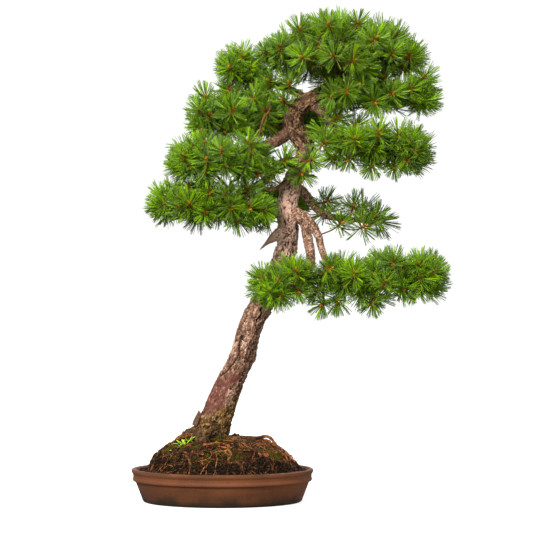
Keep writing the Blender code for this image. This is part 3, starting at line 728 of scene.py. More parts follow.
def root_bark():
    """Pine root, washed bare: thin fibrous bark in tan and red-brown, with soil in its grooves."""
    made, add, shader = new_material("fibrous_root_bark", Roughness=0.8, IOR=1.45, Specular_IOR_Level=0.25)
    place = add("TexCoord").outputs["Object"]
    own = add("Attribute", attribute_name="tone")
    fibre = add("TexNoise", {"Vector": place, "Scale": 260.0, "Detail": 4.0})
    blend = add("Math", {0: own.outputs["Fac"], 1: 0.55, 2: fibre}, operation="MULTIPLY_ADD")
    root = bpy.context.scene.bonsai.root_colour
    tone = add("ValToRGB", {"Fac": blend}, stops=[(0.30, root, 0.08), (0.68, root, 0.32), (1.0, root, 2.7)])
    bump = add("Bump", {"Height": fibre, "Strength": 0.6, "Distance": 0.5 * MM})
    fill(shader, {"Base Color": tone, "Normal": bump})
    return made


def pine_bark():
    """Flaking pine bark: tan and pink-grey plates, dark cracks with painted shade, red where they fell,
    green at the foot.
    """
    made, add, shader = new_material("flaking_pine_bark", Roughness=0.88, IOR=1.45, Specular_IOR_Level=0.25)
    bark = bpy.context.scene.bonsai.bark_colour
    place = add("TexCoord").outputs["Object"]
    read = {name: add("Attribute", attribute_name=name).outputs["Fac"] for name in ("plate", "crevice",
        "red", "algae_and_crown_shade", "bare")}
    grain = add("Mapping", {"Vector": place, "Scale": (430.0, 430.0, 210.0)})
    fleck = add("TexNoise", {"Vector": grain, "Scale": 1.0, "Detail": 4.0})
    # The plate tone carries painted light and painted shade from the trunk and the branches.
    plate = add("Math", {0: read["plate"], 1: 0.78}, operation="MULTIPLY")
    blend = add("Math", {0: fleck, 1: 0.62, 2: plate}, operation="MULTIPLY_ADD")
    tone = add("ValToRGB", {"Fac": blend}, stops=[(0.36, bark, 0.34), (0.59, bark, 0.66), (0.73, bark),
        (0.82, "#c49e86"), (1.0, "#e6c4ac")])
    fallen = add("ValToRGB", {"Fac": blend}, stops=[(0.34, "#482a22"), (0.58, "#6c4234"), (0.74, "#7e5042"),
        (1.0, "#d6a592")])
    with_red = add("Mix", {"Factor": read["red"], "A": tone, "B": fallen}, data_type="RGBA")
    algae = add("ValToRGB", {"Fac": blend}, stops=[(0.36, "#3a2a12"), (0.62, "#6c4c22"), (0.82, "#9e7a3c")])
    # The algae mix also paints the shade inside the crown.
    with_algae_and_shade = add("Mix", {"Factor": read["algae_and_crown_shade"], "A": with_red, "B": algae}, data_type="RGBA")
    stripped = add("Mix", {"Factor": read["bare"], "A": with_algae_and_shade, "B": "#a98770"}, data_type="RGBA")
    # Painted shade darkens the grooves, low places and cracks through the crevice mark, which also carries
    # the soil at the foot.
    cracks = add("MapRange", {"Value": read["crevice"], "From Min": 0.30, "From Max": 0.95, "To Max": 0.86})
    dark = add("Mix", {"Factor": cracks, "A": stripped, "B": "#24150d"}, data_type="RGBA")
    bump = add("Bump", {"Height": fleck, "Strength": 0.5, "Distance": 0.6 * MM})
    fill(shader, {"Base Color": dark, "Normal": bump})
    return made


def twig_bark():
    """Young pine shoots: thin, scaly, orange-brown bark that greys with age."""
    made, add, shader = new_material("young_shoot_bark", Roughness=0.75, IOR=1.45, Specular_IOR_Level=0.3)
    place = add("TexCoord").outputs["Object"]
    scales = add("TexNoise", {"Vector": place, "Scale": 350.0, "Detail": 3.0})
    tone = add("ValToRGB", {"Fac": scales}, stops=[(0.30, "#3c2616"), (0.50, "#70482a"), (0.70, "#9c683e")])
    fill(shader, {"Base Color": tone})
    return made


def pine_bud():
    """Resinous winter buds: overlapping papery scales, orange-brown with a dull shine."""
    made, add, shader = new_material("resinous_pine_bud", Roughness=0.5, IOR=1.48)
    place = add("TexCoord").outputs["Object"]
    scales = add("TexNoise", {"Vector": place, "Scale": 700.0, "Detail": 2.0})
    bud = bpy.context.scene.bonsai.bud_colour
    tone = add("ValToRGB", {"Fac": scales}, stops=[(0.35, bud, 0.55), (0.65, bud, 1.25)])
    fill(shader, {"Base Color": tone})
    return made


def pine_needle():
    """Pine needles: waxy green outer face, paler blue-green inner faces, and a tan sheath at the foot.

    The map runs along each needle in V. U is the needle's tone: green faces below 0.62, inner faces above.
    """
    made, add, shader = new_material("waxy_pine_needle", Roughness=0.48, IOR=1.45, Specular_IOR_Level=0.17)
    settings = bpy.context.scene.bonsai
    green, inner = settings.needle_colour, settings.needle_inner_colour
    chart = add("UVMap", uv_map=NEEDLE_MAP)
    split = add("SeparateXYZ", {"Vector": chart})
    tone = add("ValToRGB", {"Fac": split.outputs["X"]}, stops=[(0.0, green, 0.28), (0.30, green, 0.85),
        (0.60, green, 1.75), (0.64, inner, 0.35), (1.0, inner, 1.30)])
    sheath = add("ValToRGB", {"Fac": split.outputs["Y"]},
        stops=[(0, "#ffffff"), (0.12, (1, 1, 1), 0.80), (0.25, "#000000")])
    mixed = add("Mix", {"Factor": sheath, "A": tone, "B": (*settings.bud_colour, 1)}, data_type="RGBA")
    fill(shader, {"Base Color": mixed})
    return made


# ---------------------------------------------------------------- settings


def measure(name, description, default):
    """A setting in metres."""
    return bpy.props.FloatProperty(name=name, description=description, default=default, unit="LENGTH")


def amount(name, description, default):
    """A setting that counts."""
    return bpy.props.IntProperty(name=name, description=description, default=default)


def colour(name, description, default):
    """A setting that is a colour, with its default as sRGB hex."""
    default = linear(default)
    words = {"name": name, "description": description}
    return bpy.props.FloatVectorProperty(**words, default=default, subtype="COLOR")


class BonsaiSettings(bpy.types.PropertyGroup):
    """Sizes and colours of the tree and its pan."""

    needle_length: measure("Needle length", "Length of a full-grown needle", 40 * MM)
    needle_width: measure("Needle width",
        "Width of a needle, drawn a little wider than the real 1 mm so that it shows", 1.08 * MM)
    bundles: amount("Needle bundles", "Bundles of five needles on each shoot", 29)
    shoot_spacing: measure("Shoot spacing", "Least distance between two shoots", 29 * MM)
    fine_roots: amount("Fine roots", "Number of thin roots that lie on the mound", 300)
    crooked_roots: amount("Crooked roots", "Number of short thick roots that cross the others", 130)
    granules: amount("Granules", "Number of loose soil granules", 6500)
    clay_colour: colour("Clay", "Colour of the fired clay", "#7c4828")
    soil_colour: colour("Soil", "Colour of moist soil", "#1c1207")
    moss_colour: colour("Moss", "Colour of living moss", "#66660e")
    root_colour: colour("Roots", "Colour of bare roots", "#764722")
    bark_colour: colour("Bark", "Colour of the bark plates", "#a67c62")
    bud_colour: colour("Buds", "Colour of buds and needle sheaths", "#cc781c")
    needle_colour: colour("Needles", "Colour of a needle's outer face", "#8cb80c")
    needle_inner_colour: colour("Needles, inner face", "Colour of a needle's inner faces", "#7c9c4c")


# ---------------------------------------------------------------- operators


class BONSAI_OT_pan(bpy.types.Operator):
    """Turns the clay pan and drills its drain holes"""

    bl_idname = "bonsai.pan"
    bl_label = "Clay pan"

    def execute(self, context):
        profile = rounded([(0.0, 0.0, 0), (BASE_RADIUS + 0.0008, 0.0, 4.0 * MM),
            (SHOULDER_RADIUS + 0.0002, BAND_FOOT - 0.0006, 1.0 * MM),
            (RIM_RADIUS - 0.0032, BAND_FOOT + 0.0006, 1.2 * MM),
            (RIM_RADIUS - 0.0022, BAND_FOOT + 0.0036, 1.4 * MM),
            (RIM_RADIUS - 0.0034, BAND_FOOT + 0.0070, 1.6 * MM),
            (RIM_RADIUS - 0.0032, BAND_FOOT + 0.0125, 2.0 * MM),
            (RIM_RADIUS + 0.0002, RIM_HEIGHT - 0.0048, 2.6 * MM),
            (RIM_RADIUS - 0.0010, RIM_HEIGHT, 2.6 * MM), (RIM_RADIUS - WALL + 0.0006, RIM_HEIGHT, 2.6 * MM),
            (SHOULDER_RADIUS - WALL, BAND_FOOT, 3.0 * MM), (BASE_RADIUS - WALL, WALL, 3.0 * MM),
            (0.0, WALL, 0)], arc=4)
        pan = lathe(profile, 192)
        for i in range(DRAIN_COUNT):
            turn = math.radians(30 + 360 * i / DRAIN_COUNT)
            centre = (DRAIN_CIRCLE * math.cos(turn), DRAIN_CIRCLE * math.sin(turn), WALL / 2)
            drill = primitive("cylinder", vertices=48, radius=DRAIN_RADIUS, depth=4 * WALL, location=centre)
            apply_modifier(pan, "BOOLEAN", operation="DIFFERENCE", object=drill)
            bpy.data.objects.remove(drill)
        points = co_of(pan)
        lean = fractal(points * [9, 9, 30], 5, 2)[:, None] * unit(points * [1, 1, 0])
        outside = ease(points[:, 2], 1 * MM, 6 * MM)[:, None]
        set_co(pan, points + lean * outside * 0.35 * MM)
        select_only(pan)
        bpy.ops.object.shade_smooth_by_angle(angle=math.radians(40))
        hand_over(pan, "clay_pan", unglazed_clay(), ["pot"], smooth=False)
        return {"FINISHED"}


class BONSAI_OT_screens(bpy.types.Operator):
    """Makes a plastic mesh screen for each drain hole"""

    bl_idname = "bonsai.screens"
    bl_label = "Drain screens"

    def execute(self, context):
        finish = woven_screen()
        for i in range(1, DRAIN_COUNT + 1):
            node = f"drain_screen_{i}"
            low, high = (Vector(corner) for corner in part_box(node))
            centre, radius = (low + high) / 2, (high.x - low.x) / 2
            cells = {"x_subdivisions": 19, "y_subdivisions": 19}
            screen = primitive("grid", size=2 * radius, location=centre, **cells)
            bpy.ops.object.transform_apply()
            with edit_mode("DESELECT"):
                bpy.ops.mesh.select_mode(type="VERT")
            for vertex in screen.data.vertices:
                vertex.select = (vertex.co.xy - centre.xy).length > radius - 0.4 * MM
            bpy.ops.object.mode_set(mode="EDIT")
            bpy.ops.mesh.delete(type="VERT")
            bpy.ops.object.mode_set(mode="OBJECT")
            apply_modifier(screen, "WIREFRAME", thickness=0.7 * MM, use_replace=True, use_even_offset=True)
            hand_over(screen, f"mesh_screen_{i}", finish, [node], smooth=False)
        return {"FINISHED"}


class BONSAI_OT_soil(bpy.types.Operator):
    """Models the root-bound mound and the loose granules on it"""

    bl_idname = "bonsai.soil"
    bl_label = "Soil"

    def execute(self, context):
        gap = 0.6 * MM
        rings = 110
        profile = [(0.0, WALL + 3 * gap), (BASE_RADIUS - WALL - 4 * gap, WALL + 3 * gap),
            (SHOULDER_RADIUS - WALL - gap, BAND_FOOT), (SOIL_RADIUS, SOIL_EDGE_HEIGHT - 1.5 * MM)]
        profile += [(SOIL_RADIUS * (1 - i / rings), 1.0) for i in range(1, rings + 1)]
        soil = lathe(profile, 256)
        points = co_of(soil)
        top = points[:, 2] > 0.5
        points[top, 2] = ground(points[top, 0], points[top, 1])
        set_co(soil, points)
        hand_over(soil, "soil_mound", potting_soil(), ["soil"])
        self.granules(context.scene.bonsai.granules)
        return {"FINISHED"}

    def granules(self, count):
        """Loose crumbs of clay and lava on the mound, larger ones near the pan's wall."""
        shape, triangles = template(primitive("ico_sphere", subdivisions=1, radius=1.0))
        rng = np.random.default_rng(21)
        distance = SOIL_RADIUS * np.sqrt(rng.uniform(0.04, 0.985, count))
        turn = rng.uniform(0, math.tau, count)
        x, y = distance * np.cos(turn), distance * np.sin(turn)
        size = rng.uniform(0.8, 1.9, count) * MM * (1 + 0.4 * (distance > 0.125))
        stretch = rng.uniform(0.65, 1.35, (count, 1, 3))
        knobs = rng.uniform(0.8, 1.2, (count, len(shape), 1))
        places = np.stack([x, y, ground(x, y) + 0.35 * size], axis=1)
        crumbs = shape[None] * stretch * knobs * size[:, None, None]
        grains = copies("granules", places[:, None] + crumbs, triangles)
        set_attribute(grains, "tone", np.repeat(rng.uniform(0, 1, count) ** 1.8, len(shape)))
        hand_over(grains, "soil_granules", granule_clay(), smooth=False)


def wandering_root(rng, start_turn, start, reach, thickness, lift=0.0, sway=0.12):
    """A root's stations over the mound, from near the trunk's foot outwards."""
    turn, distance = start_turn, start
    count = max(5, int((reach - start) / 0.011))
    drift = rng.normal(0, 0.8 * sway)
    path = []
    for i in range(count + 1):
        share = i / count
        x = -0.020 * (1 - share) + distance * math.cos(turn)
        y = distance * math.sin(turn)
        if math.hypot(x, y) > 0.146:
            break
        radius = thickness * (1 - 0.65 * share)
        hump = lift * math.sin(math.pi * min(1.0, share * 1.1)) * rng.uniform(0.4, 1.3)
        path.append((x, y, float(ground([x], [y])[0]) + 0.35 * radius + hump, radius))
        drift = 0.70 * drift + rng.normal(0, sway)
        turn += drift
        distance += (reach - start) / count * rng.uniform(0.7, 1.3)
    return path


def crooked_root(rng, thickness):
    """A short crooked root that lies across the others anywhere on the mound."""
    turn, distance = rng.uniform(0, math.tau), rng.uniform(0.040, 0.128)
    x, y = distance * math.cos(turn) - 0.010, distance * math.sin(turn)
    heading = turn + rng.normal(0, 0.9)
    radius = thickness * rng.uniform(0.55, 1.1)
    path = []
    for _ in range(rng.integers(5, 10)):
        if math.hypot(x, y) > 0.144:
            break
        lift = rng.uniform(0.2, 1.5) * radius
        path.append((x, y, float(ground([x], [y])[0]) + lift, radius * rng.uniform(0.8, 1.2)))
        heading += rng.normal(0, 0.60)
        x, y = x + 7 * MM * math.cos(heading), y + 7 * MM * math.sin(heading)
    if len(path) > 3:
        for i in (0, -1):
            path[i] = (*path[i][:2], path[i][2] - 2.2 * radius, 0.6 * path[i][3])
    return path


def root_tone(points, seed):
    """Pale where a root stands clear of the soil, dark where it lies in it, and uneven along its way."""
    clear = ease(points[:, 2] - ground(points[:, 0], points[:, 1]), -1.5 * MM, 5 * MM)
    return np.clip(0.04 + 0.54 * clear + 0.70 * fractal(points / (13 * MM), seed, 2), 0, 1)


def curly_root(rng):
    """A hair-fine root that curls over the mound's right shoulder."""
    x, y, heading = rng.uniform(0.070, 0.118), rng.uniform(-0.050, 0.040), rng.uniform(-1.0, 0.8)
    turn = rng.choice([-1, 1]) * rng.uniform(0.25, 0.8)
    path = []
    for _ in range(rng.integers(6, 12)):
        lift = rng.uniform(1.0, 7.0) * MM
        path.append((x, y, float(ground([x], [y])[0]) + lift, rng.uniform(0.35, 0.6) * MM))
        heading += turn + rng.normal(0, 0.35)
        x, y = x + 5 * MM * math.cos(heading), y + 5 * MM * math.sin(heading)
    return [point for point in path if math.hypot(*point[:2]) < 0.143]


class BONSAI_OT_roots(bpy.types.Operator):
    """Lays thick and fine roots over the mound"""

    bl_idname = "bonsai.roots"
    bl_label = "Roots"

    def execute(self, context):
        rng = np.random.default_rng(8)
        finish = root_bark()
        thick = nodes_named("surface_root_")
        paths = []
        for i in range(18):
            turn = math.tau * i / 18 + rng.normal(0, 0.10)
            reach, thickness = rng.uniform(0.10, 0.15), 2.5 * MM * rng.uniform(0.5, 1.2)
            paths.append(wandering_root(rng, turn, rng.uniform(0.030, 0.070), reach, thickness))
        paths += [ARCHED_ROOT, KNEE_ROOT]
        paths += [crooked_root(rng, 2.0 * MM) for _ in range(context.scene.bonsai.crooked_roots)]
        paths = [path for path in paths if len(path) > 3]
        roots = sweep(paths, sides=10, steps=5)
        points, normals = co_of(roots), normals_of(roots)
        knots = fractal(points / (6 * MM), 3, 3)
        set_co(roots, points + normals * knots[:, None] * 0.85 * MM)
        # The two old roots are darker, weathered wood.
        old = (points[:, 1] < 0.002) & ((points[:, 0] < -0.034) | (np.abs(points[:, 0] - 0.046) < 0.028))
        old = old * ease(points[:, 2] - ground(points[:, 0], points[:, 1]), 0.5 * MM, 3 * MM)
        set_attribute(roots, "tone", np.clip(root_tone(points, 31) - 0.34 * old, 0, 1))
        hand_over(roots, "surface_roots", finish, thick)

        fine = []
        for _ in range(context.scene.bonsai.fine_roots):
            turn = rng.uniform(0, math.tau)
            start = rng.uniform(0.035, 0.115)
            reach = min(start + rng.uniform(0.03, 0.09), 0.150)
            lift = rng.choice([0.0, 0.8, 3.0], p=[0.4, 0.35, 0.25]) * MM
            path = wandering_root(rng, turn, start, reach, rng.uniform(0.35, 0.95) * MM, lift)
            fine.append(path)
        for _ in range(26):
            turn, thickness = rng.uniform(-1.0, -0.45), rng.uniform(0.7, 1.3) * MM
            start = rng.uniform(0.03, 0.07)
            fine.append(wandering_root(rng, turn, start, 0.146, thickness, lift=1.5 * MM, sway=0.05))
        fine += [curly_root(rng) for _ in range(34)]
        fine = [path for path in fine if len(path) > 3]
        threads = sweep(fine, sides=6, steps=3)
        set_attribute(threads, "tone", root_tone(co_of(threads), 77))
        hand_over(threads, "fine_roots", finish)
        return {"FINISHED"}


class BONSAI_OT_moss(bpy.types.Operator):
    """Grows moss cushions on the mound, and a small green weed by the trunk"""

    bl_idname = "bonsai.moss"
    bl_label = "Moss"

    def execute(self, context):
        rng = np.random.default_rng(5)
        nodes = nodes_named("moss_")
        leaf = primitive("cone", vertices=3, radius1=1.0, radius2=0.0, depth=1.0, location=(0, 0, 0.5))
        bpy.ops.object.transform_apply()
        shape, triangles = template(leaf)
        spots = []
        for node in nodes:
            low, high = (np.array(corner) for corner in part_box(node))
            centre, half = (low + high) / 2, (high - low) / 2
            turn = rng.uniform(0, math.tau, 1100)
            share = np.sqrt(rng.uniform(0, 1, 1100)) * (1 + 0.25 * np.sin(3 * turn))
            ring = np.stack([np.cos(turn), np.sin(turn)], axis=1) * share[:, None]
            spots.append(centre[:2] + ring * half[:2])
        for _ in range(90):
            turn, distance = rng.uniform(0, math.tau), rng.uniform(0.030, 0.120)
            centre = np.array([distance * math.cos(turn) - 0.012, distance * math.sin(turn)])
            spots.append(centre + rng.normal(0, rng.uniform(1.5, 6) * MM, (90, 2)))
        around = rng.uniform(0, math.tau, 1500)
        foot = 0.036 + np.abs(rng.normal(0, 0.007, 1500))
        spots.append(np.stack([-0.024 + foot * np.cos(around), foot * np.sin(around)], axis=1))
        spots = np.concatenate(spots)
        spots = spots[np.hypot(spots[:, 0], spots[:, 1]) < 0.148]
        places = np.stack([spots[:, 0], spots[:, 1], ground(spots[:, 0], spots[:, 1]) - 0.3 * MM], axis=1)
        directions = unit(rng.normal(0, 0.42, places.shape) + [0, 0, 1.0])
        lengths = rng.uniform(1.4, 4.2, len(places)) * MM
        widths = rng.uniform(0.40, 0.85, len(places)) * MM
        blades = copies("moss", placed(shape, places, directions, widths, lengths), triangles)
        own = rng.uniform(-0.25, 0.25, len(places))
        set_attribute(blades, "tone", np.clip(shape[None, :, 2] * 0.8 + own[:, None] + 0.2, 0, 1).ravel())
        hand_over(blades, "moss_cushions", living_moss(), nodes)
        self.weed(rng, 46)
        return {"FINISHED"}

    def weed(self, rng, count):
        """A sprig of flat pointed leaves at the trunk's foot."""
        leaf = primitive("uv_sphere", segments=8, ring_count=5, radius=1.0)
        with edit_mode():
            bpy.ops.transform.resize(value=(0.32, 0.06, 0.5))
            bpy.ops.transform.translate(value=(0, 0, 0.5))
        shape, triangles = template(leaf)
        x = -0.068 + rng.normal(0, 8 * MM, count)
        y = -0.052 + rng.normal(0, 6 * MM, count)
        places = np.stack([x, y, ground(x, y) + rng.uniform(0, 7, count) * MM], axis=1)
        directions = unit(rng.normal(0, 0.8, places.shape) + [-0.2, -0.5, 0.6])
        lengths = rng.uniform(5, 11, count) * MM
        weed = copies("weed", placed(shape, places, directions, lengths * 0.8, lengths), triangles)
        hand_over(weed, "green_weed", fresh_leaf())


class BONSAI_OT_trunk(bpy.types.Operator):
    """Grows the trunk with its dead stub, root flares, flaking bark and a loose plate"""

    bl_idname = "bonsai.trunk"
    bl_label = "Trunk"

    def execute(self, context):
        limbs = [TRUNK, DEAD_STUB, *ROOT_FLARES]
        trunk = sweep(limbs, sides=24, steps=8)
        apply_modifier(trunk, "REMESH", mode="VOXEL", voxel_size=TRUNK_VOXEL)
        apply_modifier(trunk, "SMOOTH", factor=0.5, iterations=6)
        points = co_of(trunk)
        lumps = 2.6 * fractal(points / (38 * MM), 2, 2) + 1.1 * fractal(points / (15 * MM), 4, 2)
        foot = 1 - ease(points[:, 2], 0.118, 0.140)
        lumps = lumps * MM + foot * 3.2 * MM * fractal(points / (9 * MM), 6, 2)
        for x, y, z, size, rise in KNOBS:
            away = np.linalg.norm(points - [x, y, z], axis=1) / size
            lumps = lumps + rise * np.exp(-(away**2))
        set_co(trunk, points + normals_of(trunk) * lumps[:, None])
        bark = flaking_bark(trunk, limbs, width=6 * MM, length=18 * MM, depth=3.4 * MM, seed=100)
        points, near, samples = bark["points"], bark["near"], bark["samples"]
        limb = samples["limb"][near]
        centre, radius = samples["place"][near], samples["radius"][near]
        across = (points[:, 0] - centre[:, 0]) / radius
        front = (points[:, 1] - centre[:, 1]) / radius
        drift = fractal(points / (16 * MM), 200, 3)
        # Red under-bark shows on the lower left, where plates have fallen.
        red = ease(points[:, 2] + drift * 18 * MM, 0.150, 0.164)
        red = red * (1 - ease(points[:, 2] + drift * 14 * MM, 0.220, 0.236))
        red = red * (1 - ease(across + drift * 0.5, 0.15, 0.40)) * (1 - ease(front, 0.1, 0.5)) * (limb == 0)
        # Algae grow up from the foot, higher on the right, and the stub has lost its bark.
        algae_and_crown_shade = 1 - ease(points[:, 2] + drift * 22 * MM - 0.030 * np.clip(across, -0.4, 1), 0.154, 0.180)
        bare = np.where(limb == 1, ease(0.100 - points[:, 0], 0, 0.014), 0)
        # The dry cracks run along wavering lines in the front, sunk in and darkened with painted shade.
        flat = points[:, [0, 2]] + fractal(points / (6 * MM), 210, 3)[:, None] * [1.6 * MM, 0]
        crack = np.minimum.reduce([distance_to_line(flat, line) for line in CRACKS])
        open_crack = (1 - ease(crack, 1.1 * MM, 2.3 * MM)) * (front < 0) * (limb == 0)
        calm = 1 - np.maximum(0.65 * red, 0.85 * bare)
        height = bark["height"] * calm - open_crack * 5.0 * MM
        fade = 1 - 0.6 * ease(points[:, 2], 0.70, 0.78)
        set_co(trunk, points + bark["normals"] * (height * fade)[:, None])
        # Painted light brightens the pink middle, and painted shade darkens the wood inside the crown and on
        # the trunk's right side.
        upper = ease(points[:, 2], 0.41, 0.48) * (1 - ease(points[:, 2], 0.59, 0.65))
        light = 0.62 * upper - 0.11 - 0.13 * ease(points[:, 2], 0.59, 0.65) - 0.12 * ease(across, 0.2, 0.9)
        light = light + upper * (bark["plate"] - 0.5)
        plate = (bark["plate"] + light) * (1 - 0.45 * red) + 0.45 * red * (0.40 + 0.35 * drift)
        set_attribute(trunk, "plate", plate)
        # Soil clings to the foot.
        side = 0.7 * np.clip(-0.036 - points[:, 0], 0, 0.030)
        earthy = 0.80 * (1 - ease(points[:, 2] + drift * 14 * MM - side, 0.118, 0.136))
        shown = bark["crevice"] * (0.35 + 0.65 * calm)
        set_attribute(trunk, "crevice", np.maximum.reduce([shown, 1.3 * open_crack, earthy]))
        set_attribute(trunk, "red", np.maximum(red, upper * (0.25 + 0.45 * ease(drift, -0.3, 0.3))))
        # Painted shade: inside the crown the bark is mixed towards the darker algae browns.
        set_attribute(trunk, "algae_and_crown_shade", np.maximum(algae_and_crown_shade * 0.88, 0.45 * ease(points[:, 2], 0.61, 0.66)))
        set_attribute(trunk, "bare", bare * 0.8)
        finish = pine_bark()
        hand_over(trunk, "trunk_bark", finish, ["trunk"])
        self.loose_plate(finish)
        return {"FINISHED"}

    def loose_plate(self, finish):
        """A plate of dead bark that stands off the trunk's foot and curls back to it at its top."""
        flake = primitive("cube", size=1.0)
        place = (-0.0456, -0.018, 0.151)
        with edit_mode():
            bpy.ops.mesh.subdivide(number_cuts=9)
            bpy.ops.transform.resize(value=(3.0 * MM, 9.5 * MM, 28 * MM))
            bpy.ops.transform.rotate(value=math.radians(62), orient_axis="Z", center_override=(0, 0, 0))
            bpy.ops.transform.rotate(value=math.radians(-20), orient_axis="Y", center_override=(0, 0, 0))
            bpy.ops.transform.translate(value=place)
        points = co_of(flake)
        share = (points[:, 2:] - 0.138) / 0.027
        spine = np.array(place) + (share - 0.5) * [0.0092, 0, 0]
        points[:, :2] += (spine - points)[:, :2] * 0.55 * ease(share, 0.35, 1.0)
        points += fractal(points / (4 * MM), 9, 3)[:, None] * 1.0 * MM
        set_co(flake, points)
        for name in ("crevice", "red", "algae_and_crown_shade", "bare"):
            set_attribute(flake, name, np.zeros(len(points)))
        set_attribute(flake, "plate", 0.26 + 0.3 * fractal(points / (3 * MM), 14, 2))
        hand_over(flake, "loose_bark_plate", finish)


class BONSAI_OT_branches(bpy.types.Operator):
    """Grows the branches with finer bark"""

    bl_idname = "bonsai.branches"
    bl_label = "Branches"

    def execute(self, context):
        finish = pine_bark()
        groups = {"lower_branch_bark": ["low_right", "low_front", "small_right", "left_low", "back_lower"],
            "middle_branch_bark": ["left_mid", "left_upper", "right_mid", "front", "back_upper"],
            "upper_branch_bark": ["top_left", "right_upper", "crown_left", "crown_right", "crown_front",
            "crown_back"]}
        for seed, (name, members) in enumerate(groups.items()):
            nodes = [f"branch_{member}" for member in members]
            limbs = [BRANCHES[node] for node in nodes]
            wood = sweep(limbs, sides=16, steps=8)
            apply_modifier(wood, "REMESH", mode="VOXEL", voxel_size=BRANCH_VOXEL)
            apply_modifier(wood, "SMOOTH", factor=0.5, iterations=4)
            flakes = {"width": 5 * MM, "length": 8 * MM, "depth": 1.7 * MM, "seed": 300 + 50 * seed}
            bark = flaking_bark(wood, limbs, **flakes)
            radius = bark["samples"]["radius"][bark["near"]]
            knots = fractal(bark["points"] / (14 * MM), 60 + seed, 2)
            share = np.clip(radius / (9 * MM), 0.25, 1.3)
            height = (bark["height"] + knots * 1.3 * MM) * share
            set_co(wood, bark["points"] + bark["normals"] * height[:, None])
            shade = 0.10 + 0.26 * ease(bark["points"][:, 2], 0.57, 0.64)
            set_attribute(wood, "plate", bark["plate"] - shade)
            set_attribute(wood, "crevice", bark["crevice"] * 0.9)
            for other in ("red", "algae_and_crown_shade", "bare"):
                set_attribute(wood, other, np.zeros(len(radius)))
            hand_over(wood, name, finish, nodes)
        return {"FINISHED"}


# ---------------------------------------------------------------- shoots, twigs and needles


def surface_spots(piece, rng, count):
    """Even random places on a piece's faces, with the faces' normals."""
    mesh = piece.data
    mesh.calc_loop_triangles()
    corners = co_of(piece)[np.array([t.vertices[:] for t in mesh.loop_triangles])]
    normals = np.cross(corners[:, 1] - corners[:, 0], corners[:, 2] - corners[:, 0])
    area = np.linalg.norm(normals, axis=1)
    pick = rng.choice(len(corners), count, p=area / area.sum())
    a, b = np.sqrt(rng.uniform(0, 1, (count, 1))), rng.uniform(0, 1, (count, 1))
    chosen = corners[pick]
    return (1 - a) * chosen[:, 0] + a * (1 - b) * chosen[:, 1] + a * b * chosen[:, 2], unit(normals[pick])


def thinned(points, spacing, fixed):
    """Numbers of the points kept when none may lie closer than the spacing. The fixed ones all stay."""
    kept = list(range(fixed))
    for i in range(fixed, len(points)):
        if not kept or np.min(np.sum((points[kept] - points[i]) ** 2, axis=1)) > spacing**2:
            kept.append(i)
    return np.array(kept)


def front_shoots(node, limbs):
    """Buds and directions of the shoots on a pad's front, opened forwards and away from the wood."""
    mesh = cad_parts[node].data
    pad = BVHTree.FromPolygons([v.co for v in mesh.vertices], [p.vertices for p in mesh.polygons])
    buds, directions = [], []
    for x, z in FRONT_SHOOTS.get(node, ()):
        hit = pad.ray_cast(Vector((x, -1, z)), Vector((0, 1, 0)))[0]
        wood = limbs["tree"].find((x, hit.y if hit else -0.03, z))[0]
        y = hit.y if hit else wood.y - 0.022
        away = Vector((x - wood.x, 0, z - wood.z)).normalized()
        buds.append((x, y - 0.002, z))
        directions.append((0.55 * away.x, -0.80, 0.50 * away.z + 0.12))
    return np.array(buds).reshape(-1, 3), unit(np.array(directions).reshape(-1, 3))


def shoots_in(node, settings, seed, limbs):
    """Buds, directions and needle lengths of one pad's shoots: those on its front, then all round it."""
    rng = np.random.default_rng(seed)
    front, front_ways = front_shoots(node, limbs)
    spots, normals = surface_spots(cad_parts[node], rng, 5000)
    found = [limbs["tree"].find(spot) for spot in spots]
    near = np.array([item[1] for item in found])
    clear = np.array([item[2] for item in found]) > limbs["radius"][near] + 6 * MM
    for x, z, radius in CLEAR_PLACES:
        clear &= (np.hypot(spots[:, 0] - x, spots[:, 2] - z) > radius) | (spots[:, 1] > 0.030)
    wanted = clear & ((normals[:, 2] > -0.35) | (rng.uniform(0, 1, len(spots)) < 0.35))
    spots, normals, near = spots[wanted], normals[wanted], near[wanted]
    # The front shoots stay, and the others keep their distance from them and from each other.
    spacing = settings.shoot_spacing * THIN_PADS.get(node, 1.0)
    kept = thinned(np.concatenate([front, spots]), spacing, len(front))[len(front) :] - len(front)
    spots, normals, near = spots[kept], normals[kept], near[kept]
    outward = unit(spots - limbs["place"][near])
    lift = np.where(normals[:, 2:] < -0.3, 0.10, 0.32)
    directions = unit(0.70 * normals + 0.50 * outward + lift * [0, 0, 1] + rng.normal(0, 0.20, spots.shape))
    lengths = settings.needle_length * rng.uniform(0.86, 1.12, len(spots) + len(front))
    lengths[: len(front)] *= 0.86
    behind, before = rng.uniform(0.35, 0.90, len(spots)), rng.uniform(0.66, 1.00, len(spots))
    sunk = np.where(normals[:, 1] > 0.3, behind, before)
    buds = np.concatenate([front, spots - directions * (sunk * lengths[len(front) :])[:, None]])
    # On the tree's outer sides, needles stay within the pad.
    low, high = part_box(node)
    if low[0] < 0:
        buds[:, 0] = np.maximum(buds[:, 0], low[0] + 0.80 * lengths)
    if high[0] > 0.35:
        buds[:, 0] = np.minimum(buds[:, 0], high[0] - 0.80 * lengths)
    return buds, np.concatenate([front_ways, directions]), lengths


